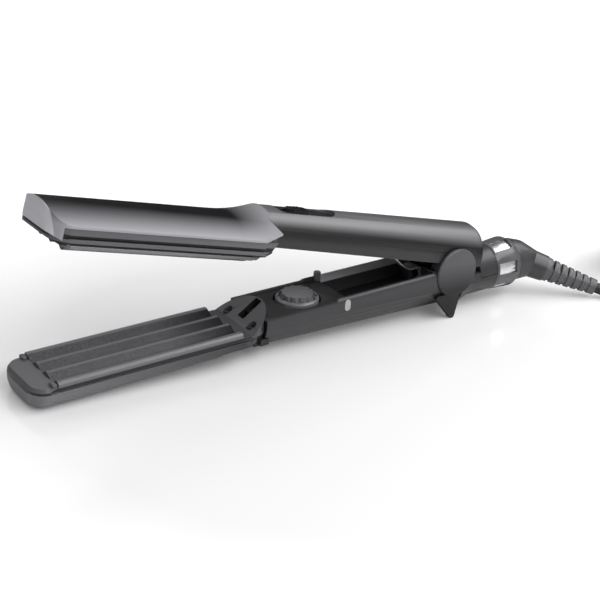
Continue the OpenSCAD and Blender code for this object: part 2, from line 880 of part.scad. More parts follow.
// Mains lead from the swivel to the board
module inner_lead() {
    color(black_plastic)
        stand()
            bar(lead_r, lead_x0, flange_x - 0.3, 0, lead_z);
}

// ---- rear tube, collar and swivel ----
module rear_top_cover() {
    color(charcoal)
        stand()
            difference() {
                intersection() {
                    bar(tube_r, cover_front, tube_end, 0, tube_z);
                    box(cover_front, tube_end + 1, head_w, tube_z + seat, 20);
                }
                bar(tube_r - handle_wall, cover_front + 2, tube_end + 1, 0, tube_z);
            }
}

collar_end = collar_x + collar_len;
ring_out = tube_r - 0.4;
ring_bulge = collar_bulge - 0.4;
ring_t = 1;
ring_end = collar_end - 2.6;
window_len = 12.2;
window_x = collar_x + 1.2;
window_span = 30;
window_turn = 8;
// Outer sleeve with a row of windows around it
module collar_sleeve() {
    color(black_plastic)
        stand()
            translate([0, 0, tube_z])
                difference() {
                    rotate([0, 90, 0])
                        rotate_extrude($fn = round_fn)
                            polygon([
                                [ring_out + 0.05, collar_x], [tube_r, collar_x], [tube_r + 0.3, collar_x + 1],
                                [tube_r + collar_bulge, collar_x + collar_len * 0.7],
                                [tube_r + collar_bulge, collar_x + collar_len * 0.82],
                                [tube_r + 0.2, collar_end - 1], [tube_r - 0.4, collar_end],
                                [stem_r + 0.5, collar_end], [stem_r + 0.5, ring_end],
                                [ring_out + 0.05, ring_end],
                                [ring_out + ring_bulge + 0.05, collar_x + collar_len * 0.7],
                                [ring_out + ring_bulge + 0.05, collar_x + collar_len * 0.4]
                            ]);
                    for (k = [0 : windows - 1])
                        rotate([-(k * 360 / windows + window_turn), 0, 0])
                            window_cutter();
                }
}
module window_cutter() {
    half = tube_r * sin(window_span / 2);
    translate([window_x, -tube_r - 3, -half])
        cube([window_len, 6, 2 * half]);
}

// Bright ring that shows through the windows
module collar_ring() {
    color(bright_metal)
        stand()
            translate([0, 0, tube_z])
                rotate([0, 90, 0])
                    rotate_extrude($fn = round_fn)
                        polygon([
                            [ring_out, collar_x + seat], [ring_out + ring_bulge, collar_x + collar_len * 0.4],
                            [ring_out + ring_bulge, collar_x + collar_len * 0.7], [ring_out, ring_end - seat],
                            [ring_out - ring_t, ring_end - seat], [ring_out - ring_t, collar_x + seat]
                        ]);
}

module swivel_bush() {
    color("white")
        stand()
            translate([0, 0, tube_z])
                difference() {
                    bar(stem_r + 0.45, ring_end, collar_end);
                    bar(stem_r + pin_fit, collar_end - 4, collar_end + 1);
                }
}

elbow_dir = [cos(elbow_bend), -sin(elbow_bend) * sin(elbow_turn), -sin(elbow_bend) * cos(elbow_turn)];
// Places its children at the elbow's bend with +Z along the outgoing arm
module along_elbow() {
    translate([elbow_x, 0, tube_z])
        rotate([-elbow_turn, 0, 0])
            rotate([0, 90 + elbow_bend, 0])
                children();
}

flange_r = tube_r - handle_wall - 0.3;
module swivel_elbow() {
    color(black_plastic)
        stand() {
            translate([0, 0, tube_z]) {
                // stem that turns in the bush, with the flange that keeps it in
                bar(stem_r, tube_end - 3, collar_end + 0.5);
                bar(flange_r, flange_x, flange_x + 3);
            }
            difference() {
                hull() {
                    translate([collar_end + 0.3, 0, tube_z])
                        rotate([0, 90, 0])
                            cylinder(r = tube_r - 0.8, h = 2, $fn = hull_fn);
                    translate([elbow_x - 1, 0, tube_z])
                        sphere(r = tube_r - 2.4, $fn = hull_fn);
                    along_elbow()
                        translate([0, 0, 9])
                            cylinder(r = elbow_arm_r + 0.6, h = 1, $fn = hull_fn);
                }
                bar(tube_r + 1, tube_end, collar_end + 0.3, 0, tube_z);
            }
            along_elbow()
                translate([0, 0, 5])
                    cylinder(r1 = elbow_arm_r + 0.9, r2 = elbow_arm_r, h = elbow_arm - 5, $fn = round_fn);
        }
}

// Ribbed and slotted sleeve around the cord
relief_r0 = 6.8;
relief_r1 = cord_d / 2 + 1.3;
relief_core = cord_d / 2 + 0.7;
relief_pitch = (relief_len - 4) / relief_slots;
slot_share = 0.45;
function relief_r(s) = relief_r0 + (relief_r1 - relief_r0) * s / relief_len;
module strain_relief() {
    groove = 0.7;
    color(black_plastic)
        stand()
            along_elbow()
                translate([0, 0, elbow_arm])
                    difference() {
                        rotate_extrude($fn = round_fn)
                            polygon(concat(
                                [[0, 0.05], [relief_r(0), 0.05]],
                                [for (k = [0 : relief_slots - 1])
                                    let (s = 2.5 + k * relief_pitch, e = s + relief_pitch * slot_share)
                                    each [[relief_r(s), s], [relief_r(s) - groove, s + 0.15],
                                          [relief_r(e) - groove, e - 0.15], [relief_r(e), e]]],
                                [[relief_r(relief_len), relief_len], [0, relief_len]]
                            ));
                        for (k = [0 : relief_slots - 1])
                            for (side = [-1, 1])
                                relief_slot(2.5 + k * relief_pitch, side);
                    }
}
module relief_slot(s, side) {
    wide = relief_r(s) * 1.25;
    translate([-wide / 2, side > 0 ? relief_core : -relief_core - 6, s])
        cube([wide, 6, relief_pitch * slot_share]);
}

// ================= upper arm =================

// The upper head within the nose's plan
module upper_form(inset) {
    intersection() {
        skin(upper_stations(inset), upper_power);
        linear_extrude(50)
            upper_plan(inset);
    }
}
module upper_plan(inset, x_end = handle_front + 1) {
    head_plan(inset, x_end, upper_nose_x, upper_corner);
}

// The nose of the shell reaches down over the carrier as far as this
cap_z = plate_gap + 2.1;
cap_rear = plate_front - 4;
// The underside of the nose rises towards its tip by nose_lift
nose_lift = 3.4;
module nose_slope(z0, z1) {
    side_plate(head_w + 2)
        polygon([[upper_nose_x - 1, z0 + nose_lift], [upper_nose_x, z0 + nose_lift], [plate_front - 1, z0],
                 [plate_front - seat, z0], [plate_front - seat, z1], [plate_front - 1, z1],
                 [upper_nose_x, z1 + nose_lift], [upper_nose_x - 1, z1 + nose_lift]]);
}
// Back shell of the upper head. Its rear ends in two horns beside the handle.
module upper_head_shell() {
    color(charcoal)
        upper()
            difference() {
                union() {
                    upper_form(0);
                    // cap around the nose
                    about_hinge(-jaw_angle)
                        intersection() {
                            linear_extrude(upper_parting_z + 1)
                                upper_plan(0);
                            nose_slope(cap_z, 20);
                            box(upper_nose_x - cut, cap_rear, head_w, 0, 20);
                        }
                }
                intersection() {
                    translate([0, 0, -cut])
                        upper_form(head_wall);
                    box(upper_nose_x, handle_front + 5, head_w, -50, 50);
                }
                about_hinge(-jaw_angle)
                    linear_extrude(upper_parting_z + 1)
                        upper_plan(head_wall);
                // room for the handle between the horns
                slab(head_rear, 10)
                    barrel_section(upper_r_front + 0.4, 0);
                // the rear is cut back above and below the horns
                side_plate(head_w + 2)
                    polygon([[head_rear, 40], [head_rear, 19], [head_rear - 1.2, 17.2],
                             [handle_front + 0.5, 12.3], [handle_front, 11.6], [head_rear + 2, 10.6],
                             [head_rear - 1, 9.4], [head_rear - 4, 8], [head_rear - 4, -5],
                             [handle_front + 10, -5], [handle_front + 10, 40]]);
            }
}

// Side of the upper carrier as [half width, height]: two bands with grooves between them
band_half = head_half - 0.4;
groove_half = band_half - 1.1;
carrier_top = upper_parting_z - seat;
carrier_profile = [
    [groove_half, upper_back_z + seat], [groove_half, plate_gap + 2.6], [band_half, plate_gap + 2.6],
    [band_half, plate_gap + 4.4], [groove_half, plate_gap + 4.4], [groove_half, plate_gap + 6],
    [band_half, plate_gap + 6], [band_half, carrier_top]
];
module carrier_section() {
    polygon(concat(carrier_profile, [for (i = [len(carrier_profile) - 1 : -1 : 0])
        [-carrier_profile[i][0], carrier_profile[i][1]]]));
}

// Carrier of the upper plate: nose, banded side rails and the hollow that clears the ramp
ramp_clear = 1.2;
tab_w = slot_w - 0.9;
tab_depth = 3;
// Underside of the upper handle over the wedge, less a gap
wedge_top = upper_floor_z + jaw_lift(handle_front) - 2 * seat;
module upper_plate_frame() {
    color(black_plastic)
        jaw()
            difference() {
                union() {
                    // lip of the nose, and its body inside the shell's cap
                    intersection() {
                        linear_extrude(carrier_top)
                            upper_plan(0.3);
                        nose_slope(plate_gap, cap_z - seat);
                    }
                    intersection() {
                        linear_extrude(carrier_top)
                            upper_plan(head_wall + seat);
                        nose_slope(plate_gap, 20);
                    }
                    // rails
                    intersection() {
                        slab(cap_rear + seat, head_rear - 4 - cap_rear)
                            carrier_section();
                        linear_extrude(30)
                            upper_plan(head_half - band_half);
                    }
                    // block behind the plate, and the wedge over the ramp
                    side_plate(2 * groove_half)
                        polygon([[plate_rear + seat, plate_gap], [plate_rear + 2.5, plate_gap],
                                 [head_rear - 4.4, 2.9], [head_rear + 0.7, 5.3],
                                 [handle_front - 1.6, carrier_top], [plate_rear + seat, carrier_top]]);
                    side_plate(2 * (groove_half - 2.4))
                        polygon([[head_rear - 4, carrier_top - 1], [handle_front - 1.6, carrier_top - 1],
                                 [handle_front - 0.6, carrier_top + 3.4], [head_rear - 1, carrier_top + 1.9],
                                 [head_rear - 4, carrier_top]]);
                    box(plate_rear + seat, handle_front - seat, wedge_half, plate_gap, wedge_top);
                    // tab that drops into the ramp's slot
                    box(slot_x + 0.8, handle_front - side_gap, tab_w / 2,
                        ramp_z(slot_x) + ramp_clear - tab_depth, wedge_top);
                }
                box(plate_front + window_inset, plate_rear - window_inset, heater_half + 0.6,
                    upper_back_z - cut, upper_parting_z + cut);
                // room for the front of the handle
                about_hinge(jaw_angle) {
                    slab(head_rear - seat, 10)
                        barrel_section(upper_r_front + 0.4, upper_floor_z - 2 * seat);
                    slab(head_rear - 2.3, 4)
                        barrel_section(neck_r + 0.3, upper_floor_z - 2 * seat);
                }
                // hollow that clears the ramp
                difference() {
                    side_plate(head_w)
                        polygon([[plate_rear + 1, -10], [plate_rear + 1, plate_gap],
                                 [ramp_x(plate_gap - ramp_clear), plate_gap],
                                 [handle_front + 2, ramp_z(handle_front + 2) + ramp_clear],
                                 [handle_front + 2, -10]]);
                    box(slot_x, handle_front + 3, tab_w / 2, -20, 20);
                }
            }
}
wedge_half = upper_r_front - 1.2;

module upper_crimp_plate() {
    color(dark_coating)
        jaw()
            slab(plate_front, plate_len)
                wave_sheet(upper_back_z, plate_gap, 0.5);
}

module upper_heater() {
    color("tan")
        jaw()
            box(plate_front + heater_inset, plate_rear - heater_inset, heater_half,
                upper_back_z + seat, upper_back_z + heater_t);
}

module upper_heater_clip() {
    color(steel)
        jaw()
            clip(upper_back_z + heater_t + seat, upper_head_height - head_wall + 1);
}

// Thermal fuse beside the element's lead end
module upper_fuse() {
    fuse_r = 1.9;
    color("silver")
        jaw()
            bar(fuse_r, plate_rear - 22, plate_rear - 10, heater_half - 5,
                upper_back_z + heater_t + fuse_r + 0.3);
}

module barrel_section(r, floor) {
    intersection() {
        translate([0, upper_floor_z + upper_side_h])
            circle(r, $fn = 64);
        translate([-r, upper_floor_z + upper_side_h])
            square([2 * r, r + 1]);
    }
    translate([-r, floor])
        square([2 * r, upper_floor_z + upper_side_h - floor + 0.01]);
}

upper_rear = 18;
panel_x0 = handle_front + 2.5;
panel_x1 = panel_x0 + switch_panel_len;
panel_z = upper_floor_z + upper_side_h + upper_r_front - 2.1;
panel_t = 1;
neck_r = upper_r_front - 3.6;
// Half-round handle with the two cheeks of the hinge
module upper_handle_shell() {
    color(charcoal)
        upper()
            difference() {
                union() {
                    difference() {
                        union() {
                            hull() {
                                slab(head_rear + seat)
                                    barrel_section(upper_r_front, upper_floor_z);
                                slab(upper_rear - 4)
                                    barrel_section(upper_r_rear, upper_floor_z);
                                slab(upper_rear - 1.1)
                                    barrel_section(upper_r_rear - 1.1, upper_floor_z);
                                slab(upper_rear - 0.1)
                                    barrel_section(upper_r_rear - 3, upper_floor_z);
                            }
                            // neck that enters the head shell
                            slab(head_rear - 2, 3)
                                barrel_section(neck_r, upper_floor_z);
                        }
                        hull() {
                            slab(head_rear + handle_wall)
                                barrel_section(upper_r_front - handle_wall, upper_floor_z - 0.1);
                            slab(-cheek_r - 1)
                                barrel_section(upper_r_rear - handle_wall - 0.6, upper_floor_z - 0.1);
                        }
                        slab(head_rear - 3, 6)
                            barrel_section(neck_r - 1.6, upper_floor_z - 0.1);
                        // room for the ears of the lower handle
                        twin_discs(ear_r + 0.5, cheek_out, handle_half + 4);
                        twin_discs(cover_r + 0.6, ear_out - 0.2, handle_half + 4);
                    }
                    twin_discs(cheek_r, cheek_in, cheek_out);
                    box(-cheek_r + 3, cheek_r - 3, cheek_out, axis_z + 5, upper_floor_z + 3);
                }
                // hollow between the cheeks
                box(-cheek_r - 2, cheek_r + 0.5, cheek_in, -30, upper_floor_z);
                axle(bush_r + 0.02, 2 * handle_half);
                // flat seat of the switch panel
                slot_shape(panel_x0, panel_x1, switch_panel_w / 2, panel_z, panel_z + 20);
                slot_shape(panel_x0 + 1.1, panel_x1 - 4, pocket_half, upper_floor_z + 5, panel_z + 1);
            }
}
cheek_r = 12;
pocket_half = 4.3;

// An oblong block with round ends
module slot_shape(x0, x1, half, z0, z1) {
    translate([0, 0, z0])
        linear_extrude(z1 - z0) {
            translate([x0 + half, 0])
                circle(half, $fn = round_fn);
            translate([x1 - half, 0])
                circle(half, $fn = round_fn);
            translate([x0 + half, -half])
                square([x1 - x0 - 2 * half, 2 * half]);
        }
}

cover_x0 = ramp_rear + 1;
cover_x1 = -cheek_r - 2.5;
cover_screws = [cover_x0 + 6, cover_x1 - 6];
cover_plate_t = 1.6;
// Flat cover that closes the underside of the upper handle
module upper_handle_cover() {
    half0 = upper_r_front - handle_wall - 0.2;
    half1 = upper_r_rear - handle_wall - 1.2;
    color(black_plastic)
        upper()
            difference() {
                translate([0, 0, upper_floor_z])
                    linear_extrude(cover_plate_t)
                        polygon([[cover_x0, -half0], [cover_x1, -half1],
                                 [cover_x1, half1], [cover_x0, half0]]);
                for (x = cover_screws)
                    translate([x, 0, upper_floor_z - 1])
                        cylinder(r = 1.3, h = 6, $fn = round_fn);
            }
}

module upper_cover_screws() {
    color(steel)
        upper()
            for (x = cover_screws)
                translate([x, 0, upper_floor_z - 0.9]) {
                    cylinder(r = 2.2, h = 0.85, $fn = round_fn);
                    cylinder(r = 1.2, h = 6, $fn = round_fn);
                }
}

// Sunk bezel around the slide switch
module switch_panel() {
    color(black_plastic)
        upper()
            difference() {
                slot_shape(panel_x0 + seat, panel_x1 - seat, switch_panel_w / 2 - seat,
                           panel_z, panel_z + panel_t);
                slot_shape(slider_x - switch_travel - 5.6, slider_x + 6, 2.2, panel_z - 1, panel_z + 2);
            }
}

slider_x = panel_x0 + 15;
grip_x = slider_x - 1;
grip_z = panel_z + panel_t + 2;
// Slide switch under the bezel
module switch_body() {
    color("dimgray")
        upper()
            difference() {
                box(slider_x - 11, slider_x + 9, pocket_half - 0.3, upper_floor_z + 5.2, panel_z - seat);
                box(slider_x - switch_travel - 5.2, slider_x + 5.2, 2.4, panel_z - 2.6, panel_z + 1);
            }
}

// Sliding power button with a ribbed thumb grip
module power_switch() {
    color(dark_coating)
        upper() {
            box(slider_x - 4, slider_x + 4, 1.9, panel_z - 2.3, panel_z + panel_t + 0.4);
            difference() {
                slot_shape(slider_x - 7, slider_x + 5.5, 4, panel_z + panel_t + 0.15, grip_z + 0.7);
                for (k = [-2 : 2])
                    box(grip_x + k * 2 - 0.4, grip_x + k * 2 + 0.4, 5, grip_z, grip_z + 2);
            }
        }
}

// ================= cord =================
cord_r = cord_d / 2;
// Height of the cord's middle when it lies on the floor
lying_z = 3.05;

// Directions and rings of a tube along points, its first side turned by the given angle
function unit(v) = v / norm(v);
function tangent(p, i) = unit(p[min(i + 1, len(p) - 1)] - p[max(i - 1, 0)]);
function side_of(t) = unit(cross([0, 0, 1], t));
function ring_at(p, i, r, n, turn) = let (t = tangent(p, i), u = side_of(t), w = cross(t, u))
    [for (k = [0 : n - 1]) p[i] + r * (cos(360 * k / n + turn) * u + sin(360 * k / n + turn) * w)];
module tube_along(p, r, n, turn) {
    m = len(p);
    points = [for (i = [0 : m - 1]) each ring_at(p, i, r, n, turn)];
    walls = [for (i = [0 : m - 2]) for (k = [0 : n - 1])
        let (a = i * n + k, b = i * n + (k + 1) % n)
        each [[a, a + n, b], [b, a + n, b + n]]];
    first = [for (k = [1 : n - 2]) [0, k, k + 1]];
    last_0 = (m - 1) * n;
    last = [for (k = [1 : n - 2]) [last_0, last_0 + k + 1, last_0 + k]];
    polyhedron(points, concat(walls, first, last), convexity = 10);
}

// Route of the cord over the floor, from the strain relief to the coil
cord_route = [
    [176, -31, 6.05], [180.3, -34.85, 4.45], [183.5, -37.3, 3.6], [187, -39.3, 3.15],
    [191, -40.95, 3.05], [196, -42.6, 3.05], [201, -44.2, 3.05], [206, -45.8, 3.05],
    [211, -47.45, 3.05], [216, -49.1, 3.05], [221, -50.7, 3.05], [226, -52.35, 3.05],
    [231, -53.95, 3.05], [235, -55.25, 3.05], [239.3, -56.65, 3.05]
];
module power_cord() {
    color(black_plastic)
        tube_along(cord_route, cord_r, 8, 22.5);
}

// The coil of the rest of the cord: four layers of two turns, spiralling in and out again.
// It climbs to the next layer in the half turn where the spiral reverses.
coil_start = [245, -58.5];
coil_heading = -18;
coil_turns_in_layer = 2;
coil_layers = 4;
coil_pitch = cord_d + 0.7;
coil_mid_r = 31.5;
coil_out_r = coil_mid_r + coil_pitch * coil_turns_in_layer / 2;
coil_centre = coil_start + coil_out_r * [-sin(coil_heading), cos(coil_heading)];
coil_steps = 24;
// Turns in all, the last third of a turn lying on top
coil_turns = coil_layers * coil_turns_in_layer + 0.33;
half_climb = 0.25 / coil_turns_in_layer;
function near_corner(u) = u > 0.5 && abs(u - round(u)) < half_climb;
function soft(d) = d < half_climb ? half_climb / 2 + d * d / (2 * half_climb) : d;
function away(u) = u > 0.5 ? soft(abs(u - round(u))) : u;
function inward(u) = round(u) % 2 == 0 ? away(u) : 1 - away(u);
function climb(v) = v * v * (3 - 2 * v);
function level(u) = near_corner(u)
    ? round(u) - 1 + climb((u - round(u) + half_climb) / (2 * half_climb))
    : floor(u);
function coil_point(t) = let (
        u = t / coil_turns_in_layer,
        r = coil_out_r - coil_pitch * coil_turns_in_layer * inward(u),
        a = coil_heading - 90 + 360 * t
    ) [coil_centre[0] + r * cos(a), coil_centre[1] + r * sin(a), lying_z + coil_pitch * level(u)];
coil_lead = [cos(coil_heading), sin(coil_heading), 0];
turns_points = [for (i = [0 : floor(coil_turns * coil_steps)]) coil_point(i / coil_steps)];

// Sizes of the plug
plug_w = 33;
plug_h = 13.6;
plug_len = 34;
gland_len = 12;
pin_spacing = 19;
plug_pin_r = 2;

// From the last turn the cord bends in over the coil to the plug
bend_r = 26;
bend_angle = 120;
bend_steps = 9;
leave = turns_points[len(turns_points) - 1];
leave_out = unit([leave[0] - coil_centre[0], leave[1] - coil_centre[1], 0]);
leave_angle = atan2(leave_out[1], leave_out[0]);
bend_centre = leave - bend_r * leave_out;
plug_rise = lying_z + coil_pitch * (coil_layers - 1) + cord_r + 0.35 + plug_h / 2 - leave[2];
bend_points = [for (i = [1 : bend_steps])
    let (a = leave_angle + bend_angle * i / bend_steps)
    bend_centre + [bend_r * cos(a), bend_r * sin(a), plug_rise * climb(i / bend_steps)]];
plug_heading = leave_angle + bend_angle + 90;
bend_end = bend_points[bend_steps - 1];
plug_at = bend_end + (cord_d + seat) * [cos(plug_heading), sin(plug_heading), 0];
coil_points = concat(
    [[each coil_start, lying_z] - (cord_d - seat) * coil_lead],
    turns_points,
    bend_points,
    [bend_end + cord_d * [cos(plug_heading), sin(plug_heading), 0]]
);
module cord_coil() {
    color(black_plastic)
        tube_along(coil_points, cord_r, 6, 30);
}

// Flat plug with two round pins, lying on the coil
module at_plug() {
    translate(plug_at)
        rotate([0, 0, plug_heading])
            children();
}
module plug_body() {
    corner = 4;
    color(black_plastic)
        at_plug()
            difference() {
                union() {
                    rotate([0, 90, 0])
                        cylinder(r1 = cord_r + 0.9, r2 = cord_r + 2.2, h = gland_len + 1, $fn = round_fn);
                    hull() {
                        for (side = [-1, 1]) {
                            translate([gland_len + 2, side * (plug_w / 2 - 10), -plug_h / 2 + 1.5])
                                cylinder(r = 2, h = plug_h - 3, $fn = hull_fn);
                            translate([gland_len + 12, side * (plug_w / 2 - corner), -plug_h / 2])
                                cylinder(r = corner, h = plug_h, $fn = hull_fn);
                        }
                        translate([gland_len + plug_len - 0.5, -plug_w / 2 + 2.5, -plug_h / 2 + 0.8])
                            cube([0.5, plug_w - 5, plug_h - 1.6]);
                    }
                }
                for (side = [-1, 1])
                    translate([gland_len + plug_len - 7.8, side * pin_spacing / 2, 0])
                        rotate([0, 90, 0])
                            cylinder(r = plug_pin_r + 0.02, h = 9, $fn = round_fn);
            }
}
module plug_pins() {
    color(bright_metal)
        at_plug()
            for (side = [-1, 1])
                translate([gland_len + plug_len - 7.7, side * pin_spacing / 2, 0])
                    rotate([0, 90, 0]) {
                        cylinder(r = plug_pin_r, h = 24.7, $fn = round_fn);
                        translate([0, 0, 24.6])
                            cylinder(r1 = plug_pin_r, r2 = plug_pin_r - 0.8, h = 2, $fn = round_fn);
                    }
}

lower_head_shell();
lower_plate_frame();
lower_crimp_plate();
lower_heater();
lower_heater_clip();
lower_thermostat();
lower_handle_shell();
lower_deck();
channel_cover();
control_board();
dial_potentiometer();
temperature_dial();
pilot_lens();
ramp_screws();
hinge_pin();
hinge_bushes();
hinge_cover_near();
hinge_cover_far();
opening_spring();
inner_lead();
rear_top_cover();
collar_sleeve();
collar_ring();
swivel_bush();
swivel_elbow();
strain_relief();
upper_head_shell();
upper_plate_frame();
upper_crimp_plate();
upper_heater();
upper_heater_clip();
upper_fuse();
upper_handle_shell();
upper_handle_cover();
switch_panel();
switch_body();
power_switch();
upper_cover_screws();
power_cord();
cord_coil();
plug_body();
plug_pins();
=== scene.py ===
from math import atan2, cos, degrees, pi, radians, sin

import bpy
from mathutils import Matrix, Vector


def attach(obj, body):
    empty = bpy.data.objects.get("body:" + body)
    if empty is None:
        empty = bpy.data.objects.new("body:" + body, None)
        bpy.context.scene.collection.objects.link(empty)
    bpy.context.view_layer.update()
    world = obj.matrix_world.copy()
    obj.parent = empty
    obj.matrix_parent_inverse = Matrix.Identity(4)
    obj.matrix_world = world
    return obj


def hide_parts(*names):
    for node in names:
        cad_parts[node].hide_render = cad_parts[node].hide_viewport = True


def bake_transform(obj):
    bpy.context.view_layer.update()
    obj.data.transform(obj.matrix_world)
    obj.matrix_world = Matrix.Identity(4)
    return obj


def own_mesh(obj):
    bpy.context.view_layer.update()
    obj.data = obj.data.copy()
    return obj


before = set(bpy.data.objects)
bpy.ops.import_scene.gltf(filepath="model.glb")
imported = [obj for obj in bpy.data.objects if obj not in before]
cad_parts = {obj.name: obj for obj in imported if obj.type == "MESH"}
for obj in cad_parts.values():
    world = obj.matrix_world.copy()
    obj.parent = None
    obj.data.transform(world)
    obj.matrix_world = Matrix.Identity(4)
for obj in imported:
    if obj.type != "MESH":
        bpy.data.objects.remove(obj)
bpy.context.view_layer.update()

# ---------------------------------------------------------------------------
# Camera, table top and studio light
# A long lens looks down along the near side of the crimper from its tip end. The
# table is white and glossy. One soft lamp hangs over the hinge end, one stands behind.
# ---------------------------------------------------------------------------
camera_place = (-0.371034, -0.491625, 0.278149)
camera_right = Vector((0.81778221, -0.57133865, 0.06931377))
camera_up = Vector((0.17060687, 0.35567708, 0.91890539))
camera_back = Vector((-0.54965948, -0.73963908, 0.38834069))
camera_turn = Matrix((camera_right, camera_up, camera_back)).transposed()
bpy.ops.object.camera_add(location=camera_place, rotation=camera_turn.to_euler())
camera = bpy.context.object
camera.data.sensor_width = 36
camera.data.lens = 79.97
camera.data.clip_start = 0.01
bpy.context.scene.camera = camera


def maths(tree, operation, *values):
    """One step of arithmetic between sockets and plain numbers."""
    step = tree.nodes.new("ShaderNodeMath")
    step.operation = operation
    for socket, value in zip(step.inputs, values):
        if isinstance(value, (int, float)):
            socket.default_value = value
        else:
            tree.links.new(value, socket)
    return step.outputs[0]


def spread(tree, value, low, high, to_low, to_high):
    """Carries a value from one range to another and holds it at the ends."""
    m = tree.nodes.new("ShaderNodeMapRange")
    m.inputs["From Min"].default_value = low
    m.inputs["From Max"].default_value = high
    m.inputs["To Min"].default_value = to_low
    m.inputs["To Max"].default_value = to_high
    tree.links.new(value, m.inputs["Value"])
    return m.outputs["Result"]


# For camera rays the table glows white, weakest near the object and strongest far off: a painted glow that
# keeps the object's shadow.
table_size = 8
shadow_middle = (-0.02, -0.04, 0)
shadow_reach = (0.14, 0.42)
glow_near_and_far = (0.1, 0.9)

bpy.ops.mesh.primitive_plane_add(size=table_size, location=(0, 0, 0))
table = bpy.context.object
table.name = "table_top"
table_paint = bpy.data.materials.new("white table")
table_paint.use_nodes = True
table_tree = table_paint.node_tree
table_face = table_tree.nodes["Principled BSDF"]
table_face.inputs["Base Color"].default_value = (0.9, 0.9, 0.905, 1)
table_face.inputs["Roughness"].default_value = 0.16
table_face.inputs["Specular IOR Level"].default_value = 0.5
table_face.inputs["Emission Color"].default_value = (1, 1, 1, 1)
table_place = table_tree.nodes.new("ShaderNodeNewGeometry")
table_reach = table_tree.nodes.new("ShaderNodeVectorMath")
table_reach.operation = "DISTANCE"
table_reach.inputs[1].default_value = shadow_middle
table_tree.links.new(table_place.outputs["Position"], table_reach.inputs[0])
table_glow = spread(table_tree, table_reach.outputs["Value"], *shadow_reach, *glow_near_and_far)
table_ray = table_tree.nodes.new("ShaderNodeLightPath")
table_tree.links.new(maths(table_tree, "MULTIPLY", table_ray.outputs["Is Camera Ray"], table_glow),
                     table_face.inputs["Emission Strength"])
table.data.materials.append(table_paint)

bright_side = (-0.2, -0.75, -0.3)
mirrored_from_and_to = (0.04, 0.34)
fill_light = 0.3

studio = bpy.data.worlds.new("studio")
bpy.context.scene.world = studio
studio.use_nodes = True
studio_tree = studio.node_tree
sky_way = studio_tree.nodes.new("ShaderNodeTexCoord")
sky_side = studio_tree.nodes.new("ShaderNodeVectorMath")
sky_side.operation = "DOT_PRODUCT"
sky_side.inputs[1].default_value = bright_side
studio_tree.links.new(sky_way.outputs["Generated"], sky_side.inputs[0])
sky_shine = spread(studio_tree, sky_side.outputs["Value"], -0.45, 0.5, *mirrored_from_and_to)
ray = studio_tree.nodes.new("ShaderNodeLightPath")
sky_fill = studio_tree.nodes.new("ShaderNodeMix")
sky_fill.data_type = "FLOAT"
sky_fill.inputs["A"].default_value = fill_light
studio_tree.links.new(ray.outputs["Is Glossy Ray"], sky_fill.inputs["Factor"])
studio_tree.links.new(sky_shine, sky_fill.inputs["B"])
clear_ray = maths(studio_tree, "MAXIMUM", ray.outputs["Is Camera Ray"], ray.outputs["Is Transmission Ray"])
sky_strength = maths(studio_tree, "MAXIMUM", clear_ray, sky_fill.outputs["Result"])
studio_tree.links.new(sky_strength, studio_tree.nodes["Background"].inputs["Strength"])
studio_tree.nodes["Background"].inputs["Color"].default_value = (1, 1, 1, 1)


def soft_lamp(name, place, aim, size, power):
    """A rectangular soft lamp, turned so that it faces the point it lights."""
    bpy.ops.object.light_add(type="AREA", location=place)
    lamp = bpy.context.object
    lamp.name = name
    lamp.rotation_euler = (Vector(aim) - Vector(place)).to_track_quat("-Z", "Y").to_euler()
    lamp.data.shape = "RECTANGLE"
    lamp.data.size, lamp.data.size_y = size
    lamp.data.energy = power


soft_lamp("ceiling_panel", (0.42, -0.42, 0.72), (0, 0, 0.05), (1.9, 0.42), 12)
soft_lamp("back_panel", (-0.2, 0.9, 0.9), (0, 0, 0), (1.5, 0.8), 3)

bpy.context.scene.view_settings.view_transform = "Standard"


# ---------------------------------------------------------------------------
# Mains cord
# Round black flexible cord, 6 mm thick and about 1.8 m long. It leaves the strain
# relief, drops to the table and lies in a wound coil with its plug on top.
# ---------------------------------------------------------------------------
MM = 0.001
cord_d = 6
lying_z = 3.05
relief_end = Vector((175.728, -30.761, 6.139))
relief_way = Vector((0.7205, -0.6409, -0.2649)).normalized()
held_in_relief = 12
cord_exit = relief_end - held_in_relief * relief_way
floor_route = [
    (176, -31, 6.05), (180.3, -34.85, 4.45), (183.5, -37.3, 3.6), (187, -39.3, 3.15),
    (191, -40.95, 3.05), (196, -42.6, 3.05), (201, -44.2, 3.05), (206, -45.8, 3.05),
    (211, -47.45, 3.05), (216, -49.1, 3.05), (221, -50.7, 3.05), (226, -52.35, 3.05),
    (231, -53.95, 3.05), (235, -55.25, 3.05), (239.3, -56.65, 3.05),
]
coil_start = Vector((245.12, -58.12, 0))
coil_heading = -18
turns_in_layer = 2
coil_layers = 4
coil_pitch = cord_d + 0.7
coil_mid_r = 31.1
coil_out_r = coil_mid_r + coil_pitch * turns_in_layer / 2
coil_centre = coil_start + coil_out_r * Vector((-sin(radians(coil_heading)),
                                                cos(radians(coil_heading)), 0))
last_part_turn = 0.33
coil_turns = coil_layers * turns_in_layer + last_part_turn
half_climb = 0.25 / turns_in_layer
steps_in_turn = 48


def climb(v):
    """An even rise from 0 to 1 that starts and ends level."""
    return v * v * (3 - 2 * v)


def nearest(u):
    return int(u + 0.5)


def away(u):
    """How far a turn lies from the rim where the winding last turned round, in layers."""
    if u <= 0.5:
        return u
    d = abs(u - nearest(u))
    return half_climb / 2 + d * d / (2 * half_climb) if d < half_climb else d


def inward(u):
    return away(u) if nearest(u) % 2 == 0 else 1 - away(u)


def level(u):
    """The layer a turn lies in, with a smooth climb where the winding turns round."""
    if u > 0.5 and abs(u - nearest(u)) < half_climb:
        return nearest(u) - 1 + climb((u - nearest(u) + half_climb) / (2 * half_climb))
    return int(u)


